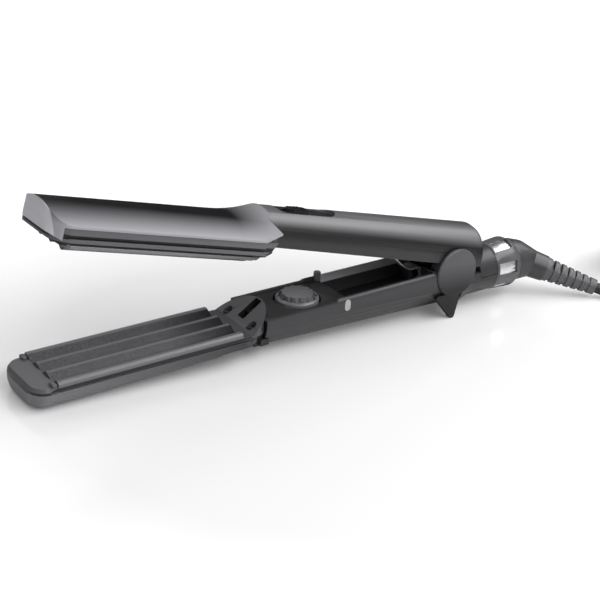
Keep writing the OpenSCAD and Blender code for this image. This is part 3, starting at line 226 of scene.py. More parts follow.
def coil_point(t):
    """The middle of the cord after so many turns of the coil, in mm."""
    u = t / turns_in_layer
    r = coil_out_r - coil_pitch * turns_in_layer * inward(u)
    a = radians(coil_heading - 90 + 360 * t)
    return Vector((coil_centre.x + r * cos(a), coil_centre.y + r * sin(a),
                   lying_z + coil_pitch * level(u)))


coil_steps = int(coil_turns * steps_in_turn / 2) * 2
coil = [coil_point(i / steps_in_turn) for i in range(coil_steps + 1)]
plug_h = 13.6
bend_r = 26
bend_angle = 120
bend_steps = 18
leave = coil[-1]
leave_out = (leave - coil_centre) * Vector((1, 1, 0))
leave_out.normalize()
leave_angle = degrees(atan2(leave_out.y, leave_out.x))
bend_centre = leave - bend_r * leave_out
plug_gap = 0.35
coil_top = lying_z + coil_pitch * (coil_layers - 1) + cord_d / 2
plug_rise = coil_top + plug_gap + plug_h / 2 - leave.z
bend = []
for i in range(1, bend_steps + 1):
    a = radians(leave_angle + bend_angle * i / bend_steps)
    bend.append(Vector((bend_centre.x + bend_r * cos(a), bend_centre.y + bend_r * sin(a),
                        leave.z + plug_rise * climb(i / bend_steps))))
plug_heading = radians(leave_angle + bend_angle + 90)
plug_way = Vector((cos(plug_heading), sin(plug_heading), 0))
plug_at = bend[-1] + (cord_d + 0.1) * plug_way
held_in_plug = 6

knots = [cord_exit] + [Vector(p) for p in floor_route]
knots.append(Vector((coil_start.x, coil_start.y, lying_z)))
smooth_start = []
steps_between_knots = 4
for i in range(len(knots) - 1):
    before = knots[max(i - 1, 0)]
    after = knots[min(i + 2, len(knots) - 1)]
    for step in range(steps_between_knots):
        t = step / steps_between_knots
        a, b = knots[i], knots[i + 1]
        smooth_start.append(0.5 * (2 * a + (b - before) * t
                                   + (2 * before - 5 * a + 4 * b - after) * t * t
                                   + (3 * a - 3 * b + after - before) * t ** 3))
cord_line = [p * MM for p in smooth_start + coil + bend + [plug_at + held_in_plug * plug_way]]


def pick(piece):
    """Makes this piece the only one selected."""
    bpy.ops.object.select_all(action="DESELECT")
    piece.select_set(True)
    bpy.context.view_layer.objects.active = piece


cord_curve = bpy.data.curves.new("power_cord", "CURVE")
cord_curve.dimensions = "3D"
cord_curve.bevel_depth = cord_d / 2 * MM
cord_curve.bevel_resolution = 4
cord_curve.use_fill_caps = True
run = cord_curve.splines.new("POLY")
run.points.add(len(cord_line) - 1)
for point, place in zip(run.points, cord_line):
    point.co = (*place, 1)
mains_cord = bpy.data.objects.new("mains_cord", cord_curve)
bpy.context.collection.objects.link(mains_cord)
pick(mains_cord)
bpy.ops.object.convert(target="MESH")
bpy.ops.object.shade_smooth()


def new_finish(name, metallic, roughness):
    """A material with its shader ready, and its node tree and object coordinates."""
    finish = bpy.data.materials.new(name)
    finish.use_nodes = True
    tree = finish.node_tree
    face = tree.nodes["Principled BSDF"]
    face.inputs["Metallic"].default_value = metallic
    face.inputs["Roughness"].default_value = roughness
    place = tree.nodes.new("ShaderNodeTexCoord")
    return finish, tree, face, place.outputs["Object"]


def noise(tree, where, scale, detail=2.0, rough=0.5):
    n = tree.nodes.new("ShaderNodeTexNoise")
    n.inputs["Scale"].default_value = scale
    n.inputs["Detail"].default_value = detail
    n.inputs["Roughness"].default_value = rough
    tree.links.new(where, n.inputs["Vector"])
    return n.outputs["Fac"]


def tint(tree, share, first, second):
    """Mixes two tones, each a plain colour or the outcome of another mix."""
    mix = tree.nodes.new("ShaderNodeMix")
    mix.data_type = "RGBA"
    for socket, tone in ((mix.inputs["A"], first), (mix.inputs["B"], second)):
        if isinstance(tone, tuple):
            socket.default_value = (*tone, 1)
        else:
            tree.links.new(tone, socket)
    tree.links.new(share, mix.inputs["Factor"])
    return mix.outputs["Result"]


def relief(tree, face, value, height):
    """Raises the surface by a pattern, on top of any relief it already has."""
    b = tree.nodes.new("ShaderNodeBump")
    b.inputs["Distance"].default_value = height
    b.inputs["Strength"].default_value = 1
    tree.links.new(value, b.inputs["Height"])
    if face.inputs["Normal"].is_linked:
        tree.links.new(face.inputs["Normal"].links[0].from_socket, b.inputs["Normal"])
    tree.links.new(b.outputs["Normal"], face.inputs["Normal"])


def plastic(name, dark, light, roughness, grain, grain_height):
    """Moulded plastic: a fine sparked grain, slow changes of tone and of gloss."""
    finish, tree, face, where = new_finish(name, 0, roughness)
    slow = noise(tree, where, 60, 3)
    fine = noise(tree, where, grain, 3, 0.6)
    share = maths(tree, "MULTIPLY_ADD", fine, 0.35, spread(tree, slow, 0.3, 0.7, 0, 0.65))
    tree.links.new(tint(tree, share, dark, light), face.inputs["Base Color"])
    tree.links.new(spread(tree, slow, 0.25, 0.75, roughness - 0.05, roughness + 0.06),
                   face.inputs["Roughness"])
    relief(tree, face, fine, grain_height)
    return finish


rubber = plastic("cord rubber", (0.010, 0.010, 0.011), (0.022, 0.022, 0.024), 0.5, 2600, 0.00004)
mains_cord.data.materials.append(rubber)
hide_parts("power_cord", "cord_coil")
bending_length = 0.042
walked = 0
for a, b in zip(cord_line, cord_line[1:]):
    walked += (b - a).length
    if walked > bending_length:
        break
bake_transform(mains_cord)


# ---------------------------------------------------------------------------
# Mains plug
# Black moulded plug with a cable gland and two bright nickel-plated pins, moulded on
# to the cord's end. It lies on the wound cord.
# ---------------------------------------------------------------------------
def moulding(node, name, body, edge, finish, angle=32, segments=2):
    """A smooth copy of a solid whose sharp edges are rounded by the given radius."""
    piece = bpy.data.objects.new(name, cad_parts[node].data.copy())
    bpy.context.collection.objects.link(piece)
    pick(piece)
    bpy.ops.object.mode_set(mode="EDIT")
    bpy.ops.mesh.select_all(action="SELECT")
    bpy.ops.mesh.remove_doubles(threshold=2e-6)
    bpy.ops.mesh.dissolve_limited(angle_limit=radians(0.5))
    bpy.ops.object.mode_set(mode="OBJECT")
    bpy.ops.object.shade_smooth_by_angle(angle=radians(angle))
    if edge:
        rounding = piece.modifiers.new("edge", "BEVEL")
        rounding.width = edge
        rounding.segments = segments
        rounding.limit_method = "ANGLE"
        rounding.angle_limit = radians(angle)
        rounding.harden_normals = True
        rounding.use_clamp_overlap = True
        bpy.ops.object.modifier_apply(modifier=rounding.name)
    piece.data.materials.clear()
    piece.data.materials.append(finish)
    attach(piece, body)
    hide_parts(node)
    return piece


def metal(name, dark, light, roughness, grain, grain_height, metallic=1.0):
    """Bare or coated metal: slow stains of tone over a fine grain that changes the polish."""
    finish, tree, face, where = new_finish(name, metallic, roughness)
    slow = noise(tree, where, 120, 4)
    fine = noise(tree, where, grain, 3, 0.6)
    tree.links.new(tint(tree, spread(tree, slow, 0.3, 0.7, 0, 1), dark, light),
                   face.inputs["Base Color"])
    tree.links.new(spread(tree, fine, 0.3, 0.7, roughness - 0.05, roughness + 0.06),
                   face.inputs["Roughness"])
    relief(tree, face, fine, grain_height)
    return finish


plug_paint = plastic("plug plastic", (0.013, 0.013, 0.014), (0.026, 0.026, 0.028), 0.45, 2200, 0.00005)
pin_metal = metal("pin nickel", (0.62, 0.61, 0.58), (0.78, 0.77, 0.74), 0.18, 1800, 0.000004)
plug_moulding = moulding("plug_body", "plug_moulding", "lower_arm", 0.0007, plug_paint, segments=3)
plug_prongs = moulding("plug_pins", "plug_prongs", "lower_arm", 0.0005, pin_metal, segments=3)

# ---------------------------------------------------------------------------
# Head of the lower arm
# Shallow tub of satin charcoal plastic with rounded corners, moulded in one piece. It
# lies under the plate frame, and its rear end is cut to the ramp's half-round tail.
# ---------------------------------------------------------------------------
lean_lower = -2.72043
tilt = radians(-lean_lower)
hinge_foot = (82.796477, 24.793019)
axis_z = 0.8


def seat(x, y, z):
    """A point given from the hinge along the lower arm, in mm, as it lies at rest."""
    return Vector((x * cos(tilt) - z * sin(tilt) + hinge_foot[0], y,
                   x * sin(tilt) + z * cos(tilt) + hinge_foot[1])) * MM


def along_arm(p):
    """The same the other way: rest coordinates in metres back to mm along the lower arm."""
    x, z = p.x / MM - hinge_foot[0], p.z / MM - hinge_foot[1]
    return x * cos(tilt) + z * sin(tilt), p.y / MM, z * cos(tilt) - x * sin(tilt)


def height_over(tree, where, lean, low, high):
    """0 to 1 between two heights in mm, measured square to an arm that leans by degrees."""
    d = tree.nodes.new("ShaderNodeVectorMath")
    d.operation = "DOT_PRODUCT"
    way = Vector((sin(radians(lean)), 0, cos(radians(lean))))
    d.inputs[1].default_value = way
    tree.links.new(where, d.inputs[0])
    base = seat(0, 0, axis_z).dot(way)
    return spread(tree, d.outputs["Value"], base + (low - axis_z) * MM, base + (high - axis_z) * MM, 0, 1)


def coordinate(tree, where, axis):
    split = tree.nodes.new("ShaderNodeSeparateXYZ")
    tree.links.new(where, split.inputs[0])
    return split.outputs[axis]


def shaded_along_length(name, front_x, rear_x, front_tone, rear_tone, roughness):
    """Satin plastic whose tone passes from one to the other along the tool, in metres: painted light and
    shade.
    """
    finish, tree, face, where = new_finish(name, 0, roughness)
    share = spread(tree, coordinate(tree, where, "X"), front_x, rear_x, 0, 1)
    tree.links.new(tint(tree, share, front_tone, rear_tone), face.inputs["Base Color"])
    relief(tree, face, noise(tree, where, 2800, 3, 0.6), 0.00002)
    return finish


def choose(piece, inside):
    """Opens a piece for editing with the vertices selected that a test in arm mm picks."""
    pick(piece)
    for v in piece.data.vertices:
        v.select = inside(*along_arm(v.co))
    for f in piece.data.polygons:
        f.select = all(piece.data.vertices[i].select for i in f.vertices)
    bpy.ops.object.mode_set(mode="EDIT")
    bpy.ops.mesh.select_mode(type="VERT")


nose_start = -229.2
nose_share = 0.84


def shorten_nose(piece):
    """Draws the nose of a lower head piece back towards the plate's front end."""
    choose(piece, lambda x, y, z: x < nose_start)
    bpy.ops.transform.resize(value=(nose_share, 1, 1), center_override=seat(nose_start, 0, -5))
    bpy.ops.object.mode_set(mode="OBJECT")


# The tub is painted lighter at its nose and darker towards the rear: painted light and shade.
tub_lit_and_shaded = shaded_along_length("charcoal tub lit and shaded", -0.152, -0.05, (0.19, 0.186, 0.2), (0.036, 0.035, 0.038), 0.4)
lower_tub = moulding("lower_head_shell", "lower_head_tub", "lower_arm", 0.0008, tub_lit_and_shaded,
                     segments=3)
shorten_nose(lower_tub)

# ---------------------------------------------------------------------------
# Plate frame of the lower arm
# Heat-proof dark plastic around the plate, with a flat nose in front and a slotted
# ramp behind. A seam parts it from the tub, and two dark screws hold it. Painted shade
# darkens the seam, the frame's side and the slot, and its nose is painted lighter.
# ---------------------------------------------------------------------------
ramp_front, ramp_foot, ramp_slope = -123.5, -0.9, 0.6346
slot_from, slot_to, slot_half = -124.6, -112.6, 2.7
deck_rear, deck_drop = -228.2, 1.2
# Near black used as painted shade in seams, gaps, slots and grooves.
painted_seam_shade = (0.004, 0.004, 0.004)


def ramp_top(x):
    return ramp_foot + ramp_slope * (x - ramp_front)


def seam_shade_by_height(name, low, high, low_tone, high_tone, roughness):
    """Satin plastic that changes its tone between two heights over the lower arm, in mm: a band of painted
    shade along a seam.
    """
    finish, tree, face, where = new_finish(name, 0, roughness)
    share = maths(tree, "MULTIPLY_ADD", noise(tree, where, 60, 3), 0.12,
                  height_over(tree, where, lean_lower, low, high))
    tree.links.new(tint(tree, share, low_tone, high_tone), face.inputs["Base Color"])
    relief(tree, face, noise(tree, where, 2800, 3, 0.6), 0.00002)
    return finish


# The frame is painted lighter at its nose and darker behind: painted light and shade.
frame_lit_and_shaded = shaded_along_length("heat plastic lit and shaded", -0.15, -0.12, (0.125, 0.122, 0.132), (0.066, 0.064, 0.070), 0.36)
gap_painted_shade = plastic("painted shade in gap", (0.003, 0.003, 0.003), (0.006, 0.006, 0.006), 0.6, 2600, 0.00002)
frame_side_shade = seam_shade_by_height("frame side painted shade", -4.3, -4.1, (0.095, 0.092, 0.1), painted_seam_shade, 0.45)
nose_seam_shade = seam_shade_by_height("nose seam painted shade", -4.0, -3.8, painted_seam_shade, (0.125, 0.122, 0.132), 0.4)
screw_metal = metal("dark screw steel", (0.10, 0.10, 0.105), (0.2, 0.2, 0.205), 0.32, 1500, 0.000008)

lower_frame = moulding("lower_plate_frame", "lower_frame", "lower_arm", 0.0005, frame_lit_and_shaded)
shorten_nose(lower_frame)
choose(lower_frame, lambda x, y, z: x < deck_rear and z > -1.9)
bpy.ops.transform.translate(value=(0, 0, -deck_drop * MM))
bpy.ops.object.mode_set(mode="OBJECT")
# The slot's faces, the frame's side under the plate and the nose under the seam take painted shade.
for finish in (gap_painted_shade, frame_side_shade, nose_seam_shade):
    lower_frame.data.materials.append(finish)
for face in lower_frame.data.polygons:
    x, y, z = along_arm(face.center)
    shaded_slot = slot_from < x < slot_to and abs(y) < slot_half and z < ramp_top(x) - 0.6
    shaded_side = abs(face.normal.y) > 0.8 and abs(y) > 17.5 and x > -232 and z < -2.2
    shaded_nose = x < -228.5 and z < -3.3 and abs(face.normal.z) < 0.6
    if shaded_slot:
        face.material_index = 1
    elif shaded_side:
        face.material_index = 2
    elif shaded_nose:
        face.material_index = 3

lug_edge = 0.8
lugs = []
for y in (-15.6, 15.6):
    bpy.ops.mesh.primitive_cube_add(size=1, location=seat(-230.1, y, -1.75),
                                    rotation=(0, -tilt, 0), scale=(2.6 * MM, 4.4 * MM, 2 * MM))
    lugs.append(bpy.context.object)
pick(lugs[0])
lugs[1].select_set(True)
bpy.ops.object.join()
bpy.ops.object.transform_apply(location=True, rotation=True, scale=True)
lug_pair = bpy.context.object
lug_pair.name = "nose_lugs"
bpy.ops.object.mode_set(mode="EDIT")
bpy.ops.mesh.select_all(action="SELECT")
bpy.ops.mesh.bevel(offset=lug_edge * MM, segments=4, affect="EDGES")
bpy.ops.object.mode_set(mode="OBJECT")
bpy.ops.object.shade_smooth_by_angle(angle=radians(40))
lug_pair.data.materials.append(frame_lit_and_shaded)
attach(lug_pair, "lower_arm")
moulding("ramp_screws", "ramp_screw_heads", "lower_arm", 0.00015, screw_metal)

# ---------------------------------------------------------------------------
# Crimping plate of the lower arm
# Pressed aluminium with four crests along it and a dark non-stick coating. Fine beads
# run along each crest; the crests and the plate's two shoulders are painted bright, a
# painted highlight.
# ---------------------------------------------------------------------------
ridge_pitch = 0.0105
bead_pitch = 0.0011
shoulder_highlight_share = 0.45
shoulder_y = (0.0152, 0.0162)
grit_fades_into_shade_x = (-0.085, -0.05)

coat, coat_tree, coat_face, coat_where = new_finish("plate coating with painted highlight", 0.3, 0.42)
coat_face.inputs["Specular IOR Level"].default_value = 0.25
coat_x = coordinate(coat_tree, coat_where, "X")
coat_y = coordinate(coat_tree, coat_where, "Y")
crest_turns = maths(coat_tree, "MULTIPLY", coat_y, 2 * pi / ridge_pitch)
crest_wave = maths(coat_tree, "MULTIPLY", maths(coat_tree, "COSINE", crest_turns), -1)
on_crest = spread(coat_tree, crest_wave, 0.72, 0.97, 0, 1)
bead_wave = maths(coat_tree, "SINE", maths(coat_tree, "MULTIPLY", coat_x, 2 * pi / bead_pitch))
beads = spread(coat_tree, bead_wave, -0.2, 0.6, 0.25, 1)
on_shoulder = spread(coat_tree, maths(coat_tree, "ABSOLUTE", coat_y), *shoulder_y, 0, 1)
# Painted highlight: the coat is painted brighter and glossier in beads along each crest and on the
# shoulders.
painted_crest_highlight = maths(coat_tree, "MAXIMUM", maths(coat_tree, "MULTIPLY", on_crest, beads),
             maths(coat_tree, "MULTIPLY", on_shoulder, shoulder_highlight_share))
# A pale grit speckles the coat and fades out towards the rear, so the rear is painted darker, a painted
# shade.
grit = noise(coat_tree, coat_where, 2000, 3, 0.8)
grit_share = maths(coat_tree, "MULTIPLY", spread(coat_tree, grit, 0.3, 0.7, 0, 1),
                   spread(coat_tree, coat_x, *grit_fades_into_shade_x, 1, 0.03))
coat_base = tint(coat_tree, grit_share, (0.012, 0.012, 0.013), (0.25, 0.245, 0.264))
coat_tree.links.new(tint(coat_tree, painted_crest_highlight, coat_base, (0.34, 0.34, 0.36)), coat_face.inputs["Base Color"])
coat_tree.links.new(spread(coat_tree, painted_crest_highlight, 0, 1, 0.46, 0.3), coat_face.inputs["Roughness"])
relief(coat_tree, coat_face, grit, 0.00002)
relief(coat_tree, coat_face, maths(coat_tree, "MULTIPLY", on_crest, bead_wave), 0.00012)

# The plate's side is painted near black below the seam, a painted shade.
plate_side_shade = seam_shade_by_height("plate side painted shade", -2.9, -2.7, painted_seam_shade, (0.16, 0.157, 0.168), 0.4)
lower_plate = moulding("lower_crimp_plate", "lower_plate", "lower_arm", 0.0002, coat,
                       angle=40)
lower_plate.data.materials.append(plate_side_shade)
for face in lower_plate.data.polygons:
    if abs(face.normal.y) > 0.8 and abs(face.center.y) > 17.6 * MM:
        face.material_index = 1

# ---------------------------------------------------------------------------
# Handle of the lower arm
# Deep trough of satin black plastic that runs from the head to the hinge. Its sides are
# painted darker towards the bottom, a painted shade, and its far rim has a painted
# highlight along the lip behind a small round post; its rear end is rounded to the cord tube.
# ---------------------------------------------------------------------------
far_wall_y = 0.0143
lip_from_x = (0.0155, 0.0165)

handle_paint, handle_tree, handle_face, handle_where = new_finish("satin handle painted light and shade", 0, 0.33)
handle_face.inputs["Specular IOR Level"].default_value = 0.35
# Painted shade: the sides darken towards the bottom.
side_shade_share = height_over(handle_tree, handle_where, lean_lower, -16, -2)
handle_tone = tint(handle_tree, side_shade_share, (0.009, 0.0085, 0.009), (0.052, 0.049, 0.053))
# Painted highlight: a pale strip along the top of the far inner wall, behind the post.
on_wall = maths(handle_tree, "COMPARE", coordinate(handle_tree, handle_where, "Y"), far_wall_y, 0.0004)
over_lip = height_over(handle_tree, handle_where, lean_lower, -1.8, -1.5)
behind_post = spread(handle_tree, coordinate(handle_tree, handle_where, "X"), *lip_from_x, 0, 1)
lip_painted_highlight = maths(handle_tree, "MULTIPLY", maths(handle_tree, "MULTIPLY", on_wall, over_lip), behind_post)
handle_tree.links.new(tint(handle_tree, lip_painted_highlight, handle_tone, (0.6, 0.59, 0.62)),
                      handle_face.inputs["Base Color"])
relief(handle_tree, handle_face, noise(handle_tree, handle_where, 3000, 3, 0.6), 0.00002)

lower_handle = moulding("lower_handle_shell", "lower_handle", "lower_arm", 0.0003, handle_paint)
lower_handle.data.materials.append(gap_painted_shade)
# The slot in the handle is painted near black, a painted shade.
for face in lower_handle.data.polygons:
    x, y, z = along_arm(face.center)
    if slot_from < x < slot_to and abs(y) < slot_half and z > -8:
        face.material_index = 1

post_r, post_h, post_edge = 1.9, 6.4, 0.5
post_paint = plastic("post plastic", (0.15, 0.147, 0.158), (0.21, 0.206, 0.221), 0.35, 2600, 0.00002)
bpy.ops.mesh.primitive_cylinder_add(vertices=32, radius=post_r * MM, depth=post_h * MM,
                                    location=seat(-68.5, 13.8, 2.2), rotation=(0, -tilt, 0))
post = bpy.context.object
post.name = "rim_post"
bpy.ops.object.transform_apply(location=True, rotation=True, scale=True)
post_rounding = post.modifiers.new("edge", "BEVEL")
post_rounding.width = post_edge * MM
post_rounding.segments = 3
post_rounding.limit_method = "ANGLE"
post_rounding.angle_limit = radians(40)
bpy.ops.object.modifier_apply(modifier=post_rounding.name)
bpy.ops.object.shade_smooth_by_angle(angle=radians(40))
post.data.materials.append(post_paint)
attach(post, "lower_arm")

# ---------------------------------------------------------------------------
# Dial deck, channel floor and pilot lens
# A black deck with a round seat for the dial closes the front of the handle, a plain
# floor lines the channel behind it, and a clear lens sits in the near wall.
# ---------------------------------------------------------------------------
deck_paint = plastic("black deck", (0.016, 0.016, 0.017), (0.030, 0.030, 0.031), 0.4, 2600, 0.00002)
floor_paint = plastic("black floor", (0.004, 0.004, 0.0045), (0.009, 0.009, 0.0095), 0.55, 2600, 0.00003)
lens_finish, lens_tree, lens_face, lens_where = new_finish("pilot lens", 0, 0.15)
lens_share = spread(lens_tree, noise(lens_tree, lens_where, 300, 2), 0.3, 0.7, 0.5, 0.85)
lens_tree.links.new(tint(lens_tree, lens_share, (0.28, 0.28, 0.28), (0.5, 0.5, 0.49)),
                    lens_face.inputs["Base Color"])
lens_face.inputs["Coat Weight"].default_value = 0.5
moulding("lower_deck", "dial_deck", "lower_arm", 0.0003, deck_paint)
moulding("channel_cover", "channel_floor", "lower_arm", 0.0002, floor_paint)
moulding("pilot_lens", "lens", "lower_arm", 0.0003, lens_finish, segments=3)

# ---------------------------------------------------------------------------
# Temperature dial
# Round knob with a wide skirt and a notched grip, moulded in dark grey plastic and
# pressed on to the shaft of its potentiometer.
# ---------------------------------------------------------------------------
dial_paint = plastic("dial plastic", (0.15, 0.147, 0.158), (0.23, 0.226, 0.242), 0.33, 2400, 0.00004)
moulding("temperature_dial", "dial", "dial", 0.0003, dial_paint)

# ---------------------------------------------------------------------------
# Hinge
# A steel pin in two bronze bushes joins the arms. A satin grey cap covers it on each
# side, and a pointed foot below each cap carries the rear of the lower arm. Cap and foot
# are painted darker towards the bottom, a painted shade, so the foot is dark.
# ---------------------------------------------------------------------------
cap_shade_z = (0.016, 0.031)
cap_paint, cap_tree, cap_face, cap_where = new_finish("hinge cap painted shade", 0, 0.36)
cap_face.inputs["Specular IOR Level"].default_value = 0.3
# Painted shade: the cap and its foot darken towards the bottom.
cap_shade_share = spread(cap_tree, coordinate(cap_tree, cap_where, "Z"), *cap_shade_z, 0, 1)
cap_tree.links.new(tint(cap_tree, cap_shade_share, (0.012, 0.012, 0.013), (0.105, 0.103, 0.112)),
                   cap_face.inputs["Base Color"])
relief(cap_tree, cap_face, noise(cap_tree, cap_where, 2600, 3, 0.6), 0.00002)
pin_steel = metal("hinge pin steel", (0.5, 0.5, 0.51), (0.66, 0.66, 0.68), 0.25, 1500, 0.000005)
bronze = metal("bush bronze", (0.42, 0.28, 0.13), (0.58, 0.4, 0.2), 0.35, 1500, 0.000008)
moulding("hinge_cover_near", "hinge_cap_near", "lower_arm", 0.0003, cap_paint)
moulding("hinge_cover_far", "hinge_cap_far", "lower_arm", 0.0003, cap_paint)
moulding("hinge_pin", "hinge_pin_bar", "lower_arm", 0.0002, pin_steel)
moulding("hinge_bushes", "bronze_bushes", "upper_arm", 0.0001, bronze)

# ---------------------------------------------------------------------------
# Opening spring
# Bright wavy leaf of spring steel. Its foot lies on the channel floor under the hinge
# and its tip pushes the upper arm open.
# ---------------------------------------------------------------------------
spring_steel = metal("spring steel", (0.7, 0.7, 0.71), (0.9, 0.9, 0.92), 0.3, 1500, 0.000005, metallic=0.5)
leaf = moulding("opening_spring", "leaf_spring", "lower_arm", 0.0001, spring_steel, angle=40)
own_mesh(leaf)

# ---------------------------------------------------------------------------
# Cord tube and swivel collar
# A cover closes the tube behind the hinge. The black sleeve at its end has six
# windows over a bright ring, and a white bush inside lets the elbow turn.
# ---------------------------------------------------------------------------
collar_paint = plastic("collar plastic", (0.085, 0.085, 0.090), (0.125, 0.125, 0.132), 0.28, 2600, 0.00002)
chrome = metal("bright ring", (0.86, 0.87, 0.89), (0.96, 0.96, 0.97), 0.3, 1500, 0.000004)
bush_paint = plastic("white bush", (0.6, 0.6, 0.58), (0.75, 0.75, 0.73), 0.4, 2000, 0.00003)
moulding("rear_top_cover", "tube_cover", "lower_arm", 0.0004, handle_paint)
moulding("collar_sleeve", "swivel_collar", "lower_arm", 0.0003, collar_paint)
moulding("collar_ring", "collar_bright_ring", "lower_arm", 0.0002, chrome)
moulding("swivel_bush", "swivel_bearing", "lower_arm", 0.0002, bush_paint)

# ---------------------------------------------------------------------------
# Elbow and strain relief
# The elbow turns in the collar and points the cord down and to the near side. The
# slotted sleeve moulded to it keeps the cord from sharp bends.
# ---------------------------------------------------------------------------
elbow_paint = plastic("elbow plastic", (0.034, 0.034, 0.037), (0.062, 0.061, 0.067), 0.36, 2600, 0.00002)
relief_paint = plastic("relief plastic", (0.075, 0.075, 0.080), (0.12, 0.119, 0.128), 0.4, 2600, 0.00002)
moulding("swivel_elbow", "elbow", "swivel", 0.0003, elbow_paint)
moulding("strain_relief", "cord_sleeve", "swivel", 0.0002, relief_paint)

# ---------------------------------------------------------------------------
# Head of the upper arm
# Long hood of satin violet-grey paint on plastic, crowned across and drawn in at its
# rear with two horns that lie beside the handle. The nose is cut away at a slant.
# Its sides are painted light, a painted reflection, and its crown dark, a painted shade
# that fades towards the horns; the nose's cut face is painted lighter still.
# ---------------------------------------------------------------------------
lean_head = 12.48
nose_x = (-0.1464, -0.146)
horn_x = (-0.052, -0.036)
side_reflection_tone = (0.39, 0.383, 0.405)
nose_painted_light_tone = tuple(1.75 * c for c in side_reflection_tone)

# Painted light and shade: light sides as a painted reflection, a dark crown as painted shade that fades
# towards the horns, and a nose painted lighter still.
hood_paint, hood_tree, hood_face, hood_where = new_finish("satin hood painted light and shade", 0, 0.45)
hood_face.inputs["Specular IOR Level"].default_value = 0.06
hood_x = coordinate(hood_tree, hood_where, "X")
off_nose = spread(hood_tree, hood_x, *nose_x, 0, 1)
crown_shade_share = maths(hood_tree, "MULTIPLY", height_over(hood_tree, hood_where, lean_head, 11, 17.6),
                 spread(hood_tree, hood_x, *horn_x, 1, 0.35))
crown_shade_tone = tint(hood_tree, spread(hood_tree, noise(hood_tree, hood_where, 45, 3), 0.3, 0.7, 0, 1),
                  (0.010, 0.010, 0.011), (0.016, 0.016, 0.017))
hood_tone = tint(hood_tree, maths(hood_tree, "MULTIPLY", crown_shade_share, off_nose),
                 tint(hood_tree, off_nose, nose_painted_light_tone, side_reflection_tone), crown_shade_tone)
hood_tree.links.new(hood_tone, hood_face.inputs["Base Color"])
hood_flakes = noise(hood_tree, hood_where, 5200, 2, 0.5)
hood_tree.links.new(spread(hood_tree, hood_flakes, 0.3, 0.7, 0.41, 0.5), hood_face.inputs["Roughness"])
relief(hood_tree, hood_face, hood_flakes, 0.000008)
moulding("upper_head_shell", "upper_head_back", "upper_arm", 0.0004, hood_paint)

# ---------------------------------------------------------------------------
# Plate frame of the upper arm
# Heat-proof plastic carrier with two deep grooves along each side and a sloped block
# behind, which comes down on the lower ramp when the arms close. The grooves are painted
# near black, a painted shade.
# ---------------------------------------------------------------------------
height_span = 10
shaded_groove_middles_and_halves = ((6, 1), (2.85, 0.66))

carrier_paint, carrier_tree, carrier_face, carrier_where = new_finish("heat carrier groove shade", 0.1, 0.4)
carrier_off = maths(carrier_tree, "ABSOLUTE", coordinate(carrier_tree, carrier_where, "Y"))
carrier_in = spread(carrier_tree, carrier_off, 0.01785, 0.018, 1, 0)
carrier_height = height_over(carrier_tree, carrier_where, lean_head, 0, height_span)
carrier_tone = (0.12, 0.117, 0.127)
# Painted shade in the two grooves on each side.
for middle, half in shaded_groove_middles_and_halves:
    groove_shade_share = maths(carrier_tree, "COMPARE", carrier_height, middle / height_span, half / height_span)
    carrier_tone = tint(carrier_tree, maths(carrier_tree, "MULTIPLY", groove_shade_share, carrier_in),
                        carrier_tone, painted_seam_shade)
carrier_tree.links.new(carrier_tone, carrier_face.inputs["Base Color"])
relief(carrier_tree, carrier_face, noise(carrier_tree, carrier_where, 2800, 3, 0.6), 0.00002)
moulding("upper_plate_frame", "upper_frame", "upper_arm", 0.0003, carrier_paint)

# ---------------------------------------------------------------------------
# Crimping plate of the upper arm
# The same pressed plate as below, shifted by half a pitch so that its crests come
# down into the lower plate's valleys.
# ---------------------------------------------------------------------------
moulding("upper_crimp_plate", "upper_plate", "upper_arm", 0.0002, coat, angle=40)

# ---------------------------------------------------------------------------
# Handle of the upper arm
# D-shaped barrel of satin black paint on plastic, rounded at the rear between the
# hinge cheeks. A flat cover with two screws closes its underside. Bands of tone by height
# stand for light: the flank is painted dark, a painted shade, and the shoulder and crest
# are painted light, a painted highlight.
# ---------------------------------------------------------------------------
lean_barrel = 13.28
rim_tone = (0.018, 0.017, 0.018)
flank_shade_tone = (0.004, 0.004, 0.005)
shoulder_highlight_tone = (0.13, 0.127, 0.135)
crest_highlight_tone = (0.075, 0.073, 0.077)

barrel_paint, barrel_tree, barrel_face, barrel_where = new_finish("satin barrel painted light and shade", 0.1, 0.4)
barrel_face.inputs["Specular IOR Level"].default_value = 0.65
# Painted light and shade in bands by height.
barrel_tone = rim_tone
for low, high, tone in ((8, 10.5, flank_shade_tone), (14.5, 18.5, shoulder_highlight_tone), (22, 24, crest_highlight_tone)):
    band = height_over(barrel_tree, barrel_where, lean_barrel, low, high)
    barrel_tone = tint(barrel_tree, band, barrel_tone, tone)
barrel_tree.links.new(barrel_tone, barrel_face.inputs["Base Color"])
barrel_flakes = noise(barrel_tree, barrel_where, 5200, 2, 0.5)
barrel_tree.links.new(spread(barrel_tree, barrel_flakes, 0.3, 0.7, 0.36, 0.46),
                      barrel_face.inputs["Roughness"])
relief(barrel_tree, barrel_face, barrel_flakes, 0.000008)
moulding("upper_handle_shell", "upper_handle", "upper_arm", 0.0003, barrel_paint)
moulding("upper_handle_cover", "underside_cover", "upper_arm", 0.0003, deck_paint)
moulding("upper_cover_screws", "cover_screws", "upper_arm", 0.00015, screw_metal)

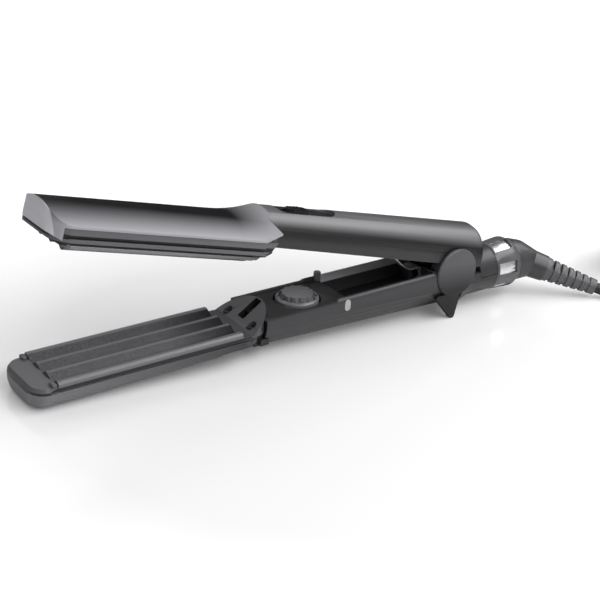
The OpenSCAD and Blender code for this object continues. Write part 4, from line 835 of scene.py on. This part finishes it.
# ---------------------------------------------------------------------------
# Slide switch
# A black bezel sunk in the top of the handle guides a ribbed slider. Its body is a
# closed box on the underside of the bezel.
# ---------------------------------------------------------------------------
slider_foot = (-0.012, 0, 0.0636)
slider_height_share = 0.8
switch_paint = plastic("switch plastic", (0.008, 0.008, 0.009), (0.018, 0.018, 0.019), 0.4, 2400, 0.00003)
moulding("switch_panel", "switch_bezel", "upper_arm", 0.0002, switch_paint)
slider = moulding("power_switch", "switch_slider", "switch", 0.0003, switch_paint)
pick(slider)
bpy.ops.object.mode_set(mode="EDIT")
bpy.ops.mesh.select_all(action="SELECT")
bpy.ops.transform.resize(value=(1, 1, slider_height_share), center_override=slider_foot)
bpy.ops.object.mode_set(mode="OBJECT")
moulding("switch_body", "switch_box", "upper_arm", 0.0002, switch_paint)

# ---------------------------------------------------------------------------
# Heaters and wiring inside the arms
# Each plate has a ceramic heating bar, held by a sprung steel clip, and a thermal
# cut-out. The board, the potentiometer and the mains lead lie in the lower handle.
# ---------------------------------------------------------------------------
ceramic = plastic("heater ceramic", (0.62, 0.56, 0.45), (0.74, 0.68, 0.57), 0.6, 1800, 0.00004)
clip_steel = metal("clip steel", (0.5, 0.5, 0.51), (0.65, 0.65, 0.67), 0.3, 1500, 0.00001)
board_green = plastic("board laminate", (0.03, 0.12, 0.05), (0.05, 0.18, 0.08), 0.35, 1200, 0.00002)
moulding("lower_heater", "lower_heating_bar", "lower_arm", 0.0002, ceramic)
moulding("upper_heater", "upper_heating_bar", "upper_arm", 0.0002, ceramic)
moulding("lower_heater_clip", "lower_sprung_clip", "lower_arm", 0, clip_steel)
moulding("upper_heater_clip", "upper_sprung_clip", "upper_arm", 0, clip_steel)
moulding("lower_thermostat", "thermal_switch", "lower_arm", 0.0002, clip_steel)
moulding("upper_fuse", "thermal_fuse", "upper_arm", 0.0002, clip_steel)
moulding("control_board", "circuit_board", "lower_arm", 0.0001, board_green)
moulding("dial_potentiometer", "potentiometer", "lower_arm", 0.0002, deck_paint)
moulding("inner_lead", "inner_mains_lead", "lower_arm", 0.0001, rubber)
